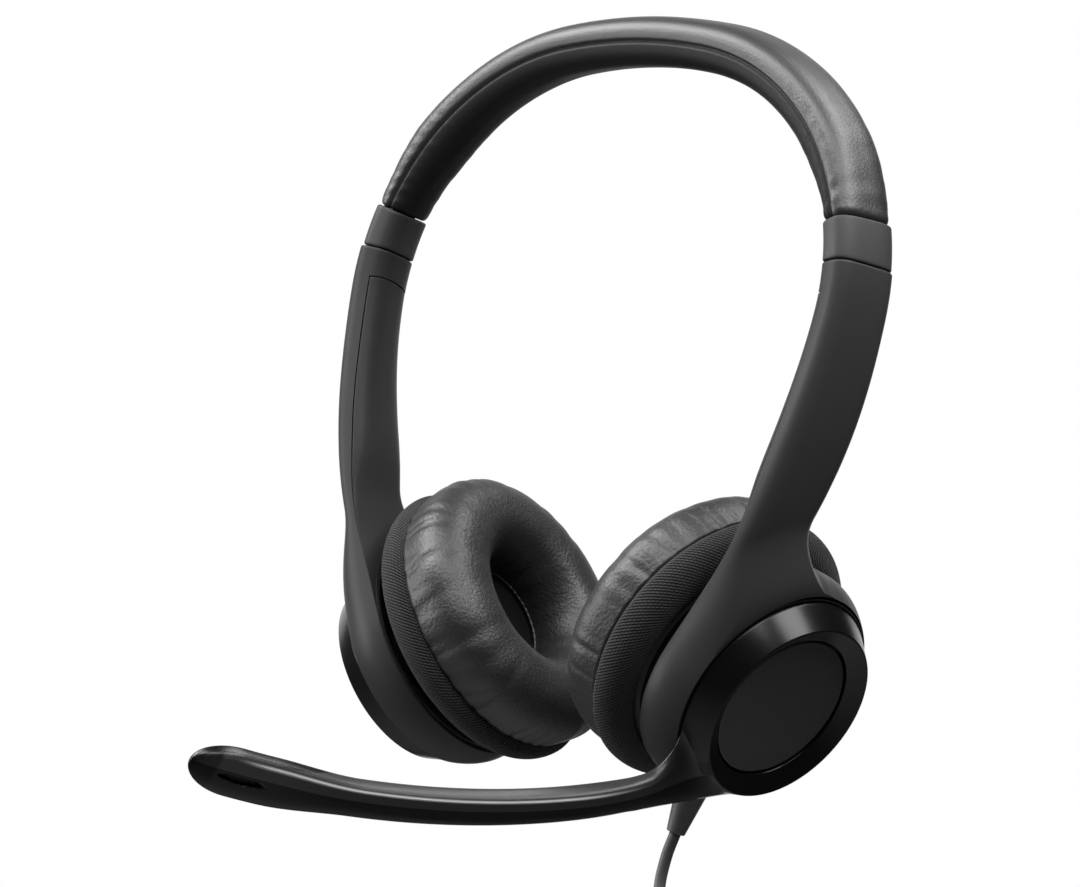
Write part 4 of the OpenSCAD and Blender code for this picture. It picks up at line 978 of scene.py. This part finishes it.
# Pull of the neck's curves at its edges and in its middle, and where they meet the boom
PULL_EDGE, PULL_MID, PULL_BOOM = 16, 13, 16
# Depth of the boom's back as a share of its half thickness, how deep the joint's lip goes, where the tip's
# finer steps start and where the boom ends
BACK_DEPTH, SHUT_DEPTH, TIP_T, BOOM_END = 0.95, 0.6, 0.9, 1.0005
# Steps along the neck, and the depth of the microphone's slot
NECK_STEPS, MIC_DEPTH = 36, 1.1


def boom_section(b):
    """Outer face of the boom by place across it: a flat band falls away above a crisp ridge and rolls under
    below it."""
    up = np.clip((b - RIDGE) / (1 - RIDGE), 0, 1)
    down = np.clip((RIDGE - b) / (1 + RIDGE), 0, 1)
    return np.where(b > RIDGE, 1 - 0.42 * up - 0.58 * up ** 5, 1 - 0.10 * down - 0.90 * down ** 4.5)


def boom_points(t, bb, hh):
    """Points of the boom's section, bb across and hh outward, at places t along its middle line."""
    d, side, out = boom_frame(t)
    w, k = boom_half_b(t)[:, None], boom_half_h(t)[:, None]
    slot = np.hypot((t[:, None] - MIC_T) / MIC_HALF_T, (bb - MIC_B) / MIC_HALF_B)
    sunk = MIC_DEPTH * ease((1.05 - slot) / 0.22) * (hh > 0)
    across = boom_mid(t)[:, None] - side[:, None] * (w * bb)[..., None]
    return across + out[:, None] * (k * hh - sunk)[..., None], d


def neck_points(bb, hh):
    """Neck from the ring to the boom: from each place round the boom's section a Hermite curve that leaves
    the ring down its cone, or along its rim at the two edges, and arrives along the boom."""
    turn = mix(NECK_LOW, NECK_HIGH, (bb + 1) / 2)
    inner = np.cos(np.pi / 2 * np.clip(bb, -1, 1))
    face = hh > 0
    slope = (CREST_H - CONE_H) / (RING_R - CREST_R)
    r = RING_R - np.where(face, 2.9 * inner ** 0.8, 2 * inner)
    h = np.where(face, CONE_H + slope * (RING_R - r), FACE_H + BOWL_LIP + NECK_CLEAR)
    start = np.stack([r * np.cos(turn), r * np.sin(turn), h], -1)
    fall = unit(np.stack([np.cos(turn), np.sin(turn), np.where(face, -slope, 0)], -1))
    rim = bb[:, None] * np.stack([-np.sin(turn), np.cos(turn), 0 * turn], -1)
    leave = mix(PULL_EDGE, PULL_MID, inner)[:, None] * mix(rim, fall, inner[:, None])
    end, along = boom_points(np.array([NECK_T]), bb[None], hh[None])
    w = np.linspace(0, 1, NECK_STEPS, endpoint=False)[:, None, None]
    return ((1 + 2 * w) * (1 - w) ** 2 * start + w * (1 - w) ** 2 * leave + w * w * (3 - 2 * w) * end
            + w * w * (w - 1) * PULL_BOOM * along)


def boom_surface(upper):
    """One shell of the boom: neck, then sections carried along the curve. The upper shell runs from the joint
    over the ridge to the back, the lower one from the back under to the joint."""
    if upper:
        b = np.concatenate([np.linspace(SHUT, RIDGE - 0.02, 30), RIDGE + np.linspace(-0.012, 0.012, 5),
                            mix(RIDGE + 0.02, 1, 1 - (1 - np.linspace(0, 1, 26)) ** 1.7)])
        back = np.linspace(0, np.pi / 2, 20)[1:]
        bb = np.concatenate([b, np.cos(back), [SHUT, SHUT]])
        shut = [-SHUT_DEPTH, boom_section(np.array(SHUT))]
        hh = np.concatenate([boom_section(b), -BACK_DEPTH * np.sin(back), shut])
    else:
        b = mix(-1, SHUT, np.linspace(0, 1, 30) ** 1.5)
        back = np.linspace(np.pi / 2, np.pi, 20)[:-1]
        bb = np.concatenate([np.cos(back), b, [SHUT, 0]])
        hh = np.concatenate([-BACK_DEPTH * np.sin(back), boom_section(b), [-SHUT_DEPTH, -BACK_DEPTH]])
    tip = BOOM_END - (BOOM_END - TIP_T) * (1 - np.linspace(0, 1, 48)) ** 1.6
    t = np.concatenate([np.linspace(NECK_T, TIP_T, 130, endpoint=False), tip])
    body, _ = boom_points(t, bb[None], hh[None])
    neck = neck_points(bb, hh)
    all_t = np.concatenate([np.linspace(0, NECK_T, NECK_STEPS, endpoint=False), t])[:, None]
    return np.concatenate([neck, body]), np.stack(np.broadcast_arrays(all_t, bb[None]), -1)


class HEADSET_OT_ring_and_boom(bpy.types.Operator):
    """Glossy rings and discs on the bowls, and the microphone boom"""
    bl_idname = "headset.ring_and_boom"
    bl_label = "Rings and boom"

    def execute(self, context):
        disc = cup_point(*turned(disc_profile(), 192))
        for side, body, node in ((1, "boom", "boom_ring"), (-1, "slider_right", "ring_right")):
            ring = cup_point(*turned(ring_profile(*RING_FOOT[side]), 288))
            add_piece(side_name("ring", side), [ring], "ring", body, "ring_gloss", node, mirror=side < 0,
                      sharp=40)
            add_piece(side_name("disc", side), [disc], "disc", side_name("slider", side), "disc_gloss",
                      side_name("cap", side), mirror=side < 0, sharp=40)
        for upper, name, look, slot, node in ((True, "boom_top", "boom", "boom_plastic", "boom_upper"),
                                              (False, "boom_base", "boom_under", "boom_under", "boom_lower")):
            g, uv = boom_surface(upper)
            add_piece(name, [cup_point(*np.moveaxis(g, -1, 0))], look, "boom", slot, node, uvs=[uv], sharp=55)
        return {"FINISHED"}


# Cord

CORD_D = 2.9
HANK_TURNS, HANK_LAYERS, HANK_RUN, HANK_R0 = 2.5, 4, 44.0, 9.0
HANK_X, HANK_Y, HANK_Z, HANK_PITCH, HANK_STEP = 30.0, 24.0, -232.0, 4.5, 3.6
HANK_R1 = HANK_R0 + HANK_PITCH * HANK_TURNS
HANK_Y0 = HANK_Y - HANK_STEP * (HANK_LAYERS - 1) / 2
# Share of a turn that each straight run takes, and the bends on the way to the hank
RUN_SHARE, CORD_BENDS = 0.28, ([30.5, 24, -196], [33, 23, -203], [41, 21, -210])
# Strain relief: where it leaves the bowl and which way, where its taper starts and ends, its radius at the
# end, how fast it widens from there and the rounding of its end
RELIEF_FROM, RELIEF_DIR = cup_point(1.5, 2.5 - BOWL_R, 18.5), unit(np.array([-0.25, 0.03, -0.968]))
RELIEF_START, RELIEF_L = 1.5, 14
RELIEF_END = RELIEF_FROM + RELIEF_L * RELIEF_DIR
RELIEF_R, RELIEF_SLOPE, RELIEF_ROUND = 2.27, 0.153, 0.35


def relief_surface():
    """Strain relief: a plain taper turned about its own axis, from the bowl's wall to its rounded end."""
    taper = np.linspace(2, RELIEF_L - RELIEF_ROUND, 24)
    end = RELIEF_L - RELIEF_ROUND + RELIEF_ROUND * np.sin(QUARTER)
    s = np.concatenate([[RELIEF_START, RELIEF_START], taper, end, [RELIEF_L]])
    r = RELIEF_R + RELIEF_SLOPE * (RELIEF_L - s)
    r[0] = r[-1] = 0
    r[-7:-1] -= RELIEF_ROUND * (1 - np.cos(QUARTER))
    side = unit(np.cross(RELIEF_DIR, (0, 1, 0)))
    a = np.linspace(0, 2 * np.pi, 65)[None, :, None]
    spoke = np.cos(a) * side + np.sin(a) * np.cross(RELIEF_DIR, side)
    return RELIEF_FROM + s[:, None, None] * RELIEF_DIR + r[:, None, None] * spoke


def spline(points, steps):
    """Catmull-Rom curve through all but the first and last point."""
    p = np.asarray(points, float)
    t = (np.arange(steps) / steps)[None, :, None]
    a, b, c, d = (p[i:len(p) - 3 + i, None] for i in range(4))
    g = 0.5 * (2 * b + (c - a) * t + (2 * a - 5 * b + 4 * c - d) * t ** 2 + (3 * b - a - 3 * c + d) * t ** 3)
    return np.concatenate([g.reshape(-1, 3), p[-2:-1]])


def hank_draw(z):
    """Share of its width that the hank keeps where the tie draws it in, by height."""
    return 1 - 0.1 * np.exp(-((z + HANK_RUN / 2) / 9) ** 2)


def hank_point(t):
    """Loops of the hank: down a run, round the foot, up a run, round the head, spiralling in and out layer
    by layer and drawn in at the waist."""
    k = np.minimum(HANK_LAYERS - 1, np.floor(t / HANK_TURNS))
    w = t - k * HANK_TURNS
    r = np.where(k % 2 == 0, HANK_R1 - HANK_PITCH * w, HANK_R0 + HANK_PITCH * w)
    y = HANK_Y0 + HANK_STEP * np.where(k == 0, 0, k - 1 + ease(w / RUN_SHARE))
    f = t - np.floor(t)
    foot, run = f < 0.5, (f % 0.5) < RUN_SHARE
    down = np.where(run, -HANK_RUN * f / RUN_SHARE, -HANK_RUN)
    up = np.where(run, HANK_RUN * ((f - 0.5) / RUN_SHARE - 1), 0)
    z = np.where(foot, down, up)
    a = np.where(run, 0, np.pi * ((f % 0.5) - RUN_SHARE) / (0.5 - RUN_SHARE))
    side, rise = np.where(foot, 1, -1) * np.cos(a), np.where(foot, -1, 1) * np.sin(a)
    return np.stack([HANK_X + side * r * hank_draw(z), y, HANK_Z + z + rise * r], -1)


def cord_path():
    """The cord's middle line: from the relief down to the hank, through its loops and down to the plug."""
    top = np.array([HANK_X + HANK_R1, HANK_Y0, HANK_Z])
    route = [RELIEF_END - 6 * RELIEF_DIR, RELIEF_END, RELIEF_END + 6 * RELIEF_DIR, *CORD_BENDS,
             top + [-1, 0.4, 15], top + [0, 0, 6], top, top - [0, 0, 6]]
    loops = hank_point(np.linspace(0, HANK_TURNS * HANK_LAYERS, 481)[1:])
    z = -np.linspace(0, HANK_RUN + 22, 34)[1:]
    tail = np.stack([HANK_X + HANK_R1 * hank_draw(z), np.full(33, loops[-1, 1]), HANK_Z + z], -1)
    return np.concatenate([spline(route, 8), loops, tail])


def tube_along(path, radius, count):
    """A round tube along a path that never runs along Y, closed at both ends."""
    d = unit(np.gradient(path, axis=0))
    a = unit(np.cross(d, [0, 1.0, 0]))
    b = np.cross(d, a)
    k = np.linspace(0, 2 * np.pi, count + 1)[None, :, None]
    g = path[:, None] + radius * (a[:, None] * np.cos(k) + b[:, None] * np.sin(k))
    end = np.broadcast_to(path[[0, -1], None], (2, count + 1, 3))
    return np.concatenate([end[:1], g, end[1:]])


class HEADSET_OT_cord(bpy.types.Operator):
    """Cord with its strain relief, put up in a tied hank that ends in the plug"""
    bl_idname = "headset.cord"
    bl_label = "Cord"

    def execute(self, context):
        path = cord_path()
        cord = add_piece("cord", [tube_along(path, CORD_D / 2, 14)], "cord", "slider_left", "cord_rubber",
                         "cord_drop", "cord_hank")
        add_piece("relief", [relief_surface()], "cord", "slider_left", "cord_rubber", "strain_relief",
                  sharp=40)
        return {"FINISHED"}


# Stage

# Height of the floor and half its side, in metres
FLOOR_Z, FLOOR_HALF = -1.3, 6
# Light that the floor gives off to the camera alone, so that it looks pale from every side
FLOOR_GLOW = 0.78
# The camera's axes, place in metres and lens
CAM_RIGHT, CAM_UP = (0.76109, 0.62123, 0.18659), (-0.04761, -0.23338, 0.97122)
CAM_BACK, CAM_PLACE = (0.64689, -0.74807, -0.14805), (0.77387, -0.9088, -0.2753)
CAM_SENSOR, CAM_LENS = 36, 166.67
# Glossy pieces mirror white within this cosine of the camera's line of sight, and elsewhere this grey
BACKDROP_COS, WORLD_GREY = 0.8, 0.02
# Degrees from +X to the camera, the point that the lamps face and how far from it they stand, in metres
CAM_BEARING, LAMP_AIM, LAMP_REACH = -49, (0, 0.01, -0.09), 0.9
# Softboxes: degrees up, degrees round from the camera towards its right, side in metres, watts
LAMPS = {"key_left": (45, 315, 0.4, 4.2), "side_left": (28, 270, 0.4, 5.0), "high_left": (45, 270, 0.4, 4.0),
         "high_right": (45, 45, 0.4, 5.0), "top_right": (70, 90, 0.4, 4.0), "low_left": (-6, 262, 0.4, 3.0),
         "front_top": (40, 0, 0.4, 3.0)}


class HEADSET_OT_stage(bpy.types.Operator):
    """Pale floor, soft studio light and the camera"""
    bl_idname = "headset.stage"
    bl_label = "Stage"

    def execute(self, context):
        scene = context.scene
        scene.view_settings.view_transform = "Standard"
        floor = bpy.data.meshes.new("floor")
        corners = [(x * FLOOR_HALF, y * FLOOR_HALF, FLOOR_Z) for x, y in ((-1, -1), (1, -1), (1, 1), (-1, 1))]
        floor.from_pydata(corners, [], [(0, 1, 2, 3)])
        ground = bpy.data.objects.new("floor", floor)
        scene.collection.objects.link(ground)
        pale = shaded("Pale floor", (0.8, 0.8, 0.8), 0.9)
        tree = pale.node_tree
        b = tree.nodes["Principled BSDF"]
        b.inputs["Emission Color"].default_value = (1, 1, 1, 1)
        looked_at = add_node(tree, "LightPath", {})["Is Camera Ray"]
        tree.links.new(times(tree, looked_at, FLOOR_GLOW), b.inputs["Emission Strength"])
        ground.data.materials.append(pale)
        cam = bpy.data.objects.new("camera", bpy.data.cameras.new("camera"))
        scene.collection.objects.link(cam)
        m = Matrix((CAM_RIGHT, CAM_UP, CAM_BACK)).transposed().to_4x4()
        m.translation = CAM_PLACE
        cam.matrix_world = m
        cam.data.sensor_width = CAM_SENSOR
        cam.data.lens = CAM_LENS
        cam.data.clip_start = 0.01
        scene.camera = cam
        world = bpy.data.worlds.new("studio")
        scene.world = world
        world.use_nodes = True
        tree = world.node_tree
        tree.nodes.clear()
        ray = add_node(tree, "LightPath", {})
        heading = add_node(tree, "TexCoord", {})["Generated"]
        sight = [-x for x in CAM_BACK]
        facing = add_node(tree, "VectorMath", {0: heading, 1: sight}, operation="DOT_PRODUCT")["Value"]
        backdrop = math_node(tree, "GREATER_THAN", facing, BACKDROP_COS)
        straight = larger(tree, ray["Is Camera Ray"], ray["Is Transmission Ray"])
        seen = larger(tree, straight, times(tree, ray["Is Glossy Ray"], backdrop))
        dim = add_node(tree, "Background", {"Color": (WORLD_GREY, WORLD_GREY, WORLD_GREY, 1)})[0]
        white = add_node(tree, "Background", {"Color": (1, 1, 1, 1)})[0]
        blend = add_node(tree, "MixShader", {0: seen, 1: dim, 2: white})[0]
        add_node(tree, "OutputWorld", {0: blend})
        for name, (rise, round_by, side, watts) in LAMPS.items():
            lamp = bpy.data.objects.new(name, bpy.data.lights.new(name, "AREA"))
            lamp.data.shape = "SQUARE"
            lamp.data.size = side
            lamp.data.energy = watts
            lamp.visible_camera = False
            scene.collection.objects.link(lamp)
            e, r = math.radians(rise), math.radians(round_by + CAM_BEARING)
            d = Vector((math.cos(e) * math.cos(r), math.cos(e) * math.sin(r), math.sin(e)))
            lamp.location = Vector(LAMP_AIM) + LAMP_REACH * d
            lamp.rotation_euler = (-d).to_track_quat("-Z", "Y").to_euler()
        return {"FINISHED"}


class HEADSET_OT_materials(bpy.types.Operator):
    """Finishes for all pieces and for the solids that still show"""
    bl_idname = "headset.materials"
    bl_label = "Materials"

    def execute(self, context):
        make_materials()
        dress_nodes()
        return {"FINISHED"}


def distance(label, about, value):
    return FloatProperty(name=label, description=about, default=value, subtype="DISTANCE", unit="LENGTH")


def colour(label, value):
    about = label + " colour, linear"
    return FloatVectorProperty(name=label, description=about, default=value, subtype="COLOR", min=0, max=1)


class HeadsetSizes(bpy.types.PropertyGroup):
    pad_width: distance("Pad width", "Width of the padded band", 0.0166)
    gathers: IntProperty(name="Gathers", description="Folds sewn into each cushion's edge", default=46, min=8)
    gather_depth: distance("Gather depth", "Depth of these folds", 0.0006)
    knit_ribs: IntProperty(name="Knit ribs", description="Ribs round each knit side", default=240, min=60)


class HeadsetColours(bpy.types.PropertyGroup):
    leatherette: colour("Leatherette", (0.018, 0.018, 0.0184))
    arm: colour("Arm plastic", (0.04, 0.04, 0.041))
    collar: colour("Collar plastic", (0.045, 0.045, 0.046))
    ring: colour("Ring", (0.004, 0.004, 0.004))
    disc: colour("Disc", (0.03, 0.03, 0.03))
    boom_under: colour("Boom's lower shell", (0.004, 0.004, 0.004))
    knit: colour("Knit", (0.08, 0.079, 0.079))
    cord: colour("Cord", (0.12, 0.12, 0.12))


STEPS = (HEADSET_OT_materials, HEADSET_OT_stage, HEADSET_OT_cord, HEADSET_OT_headband, HEADSET_OT_arms,
         HEADSET_OT_cushions, HEADSET_OT_ring_and_boom)


class HEADSET_PT_panel(bpy.types.Panel):
    """Lists the steps that build the headset"""
    bl_idname = "HEADSET_PT_panel"
    bl_label = "Headset"
    bl_space_type = "VIEW_3D"
    bl_region_type = "UI"
    bl_category = "Headset"

    def draw(self, context):
        for step in STEPS:
            self.layout.operator(step.bl_idname)
        for group in (context.scene.headset_sizes, context.scene.headset_colours):
            for name in group.__annotations__:
                self.layout.prop(group, name)


CLASSES = (HeadsetSizes, HeadsetColours, *STEPS, HEADSET_PT_panel)


def register():
    for c in CLASSES:
        bpy.utils.register_class(c)
    bpy.types.Scene.headset_sizes = PointerProperty(type=HeadsetSizes)
    bpy.types.Scene.headset_colours = PointerProperty(type=HeadsetColours)


def unregister():
    del bpy.types.Scene.headset_sizes, bpy.types.Scene.headset_colours
    for c in reversed(CLASSES):
        bpy.utils.unregister_class(c)


def main():
    register()
    for step in STEPS:
        group, name = step.bl_idname.split(".")
        getattr(getattr(bpy.ops, group), name)()


if __name__ == "__main__":
    main()
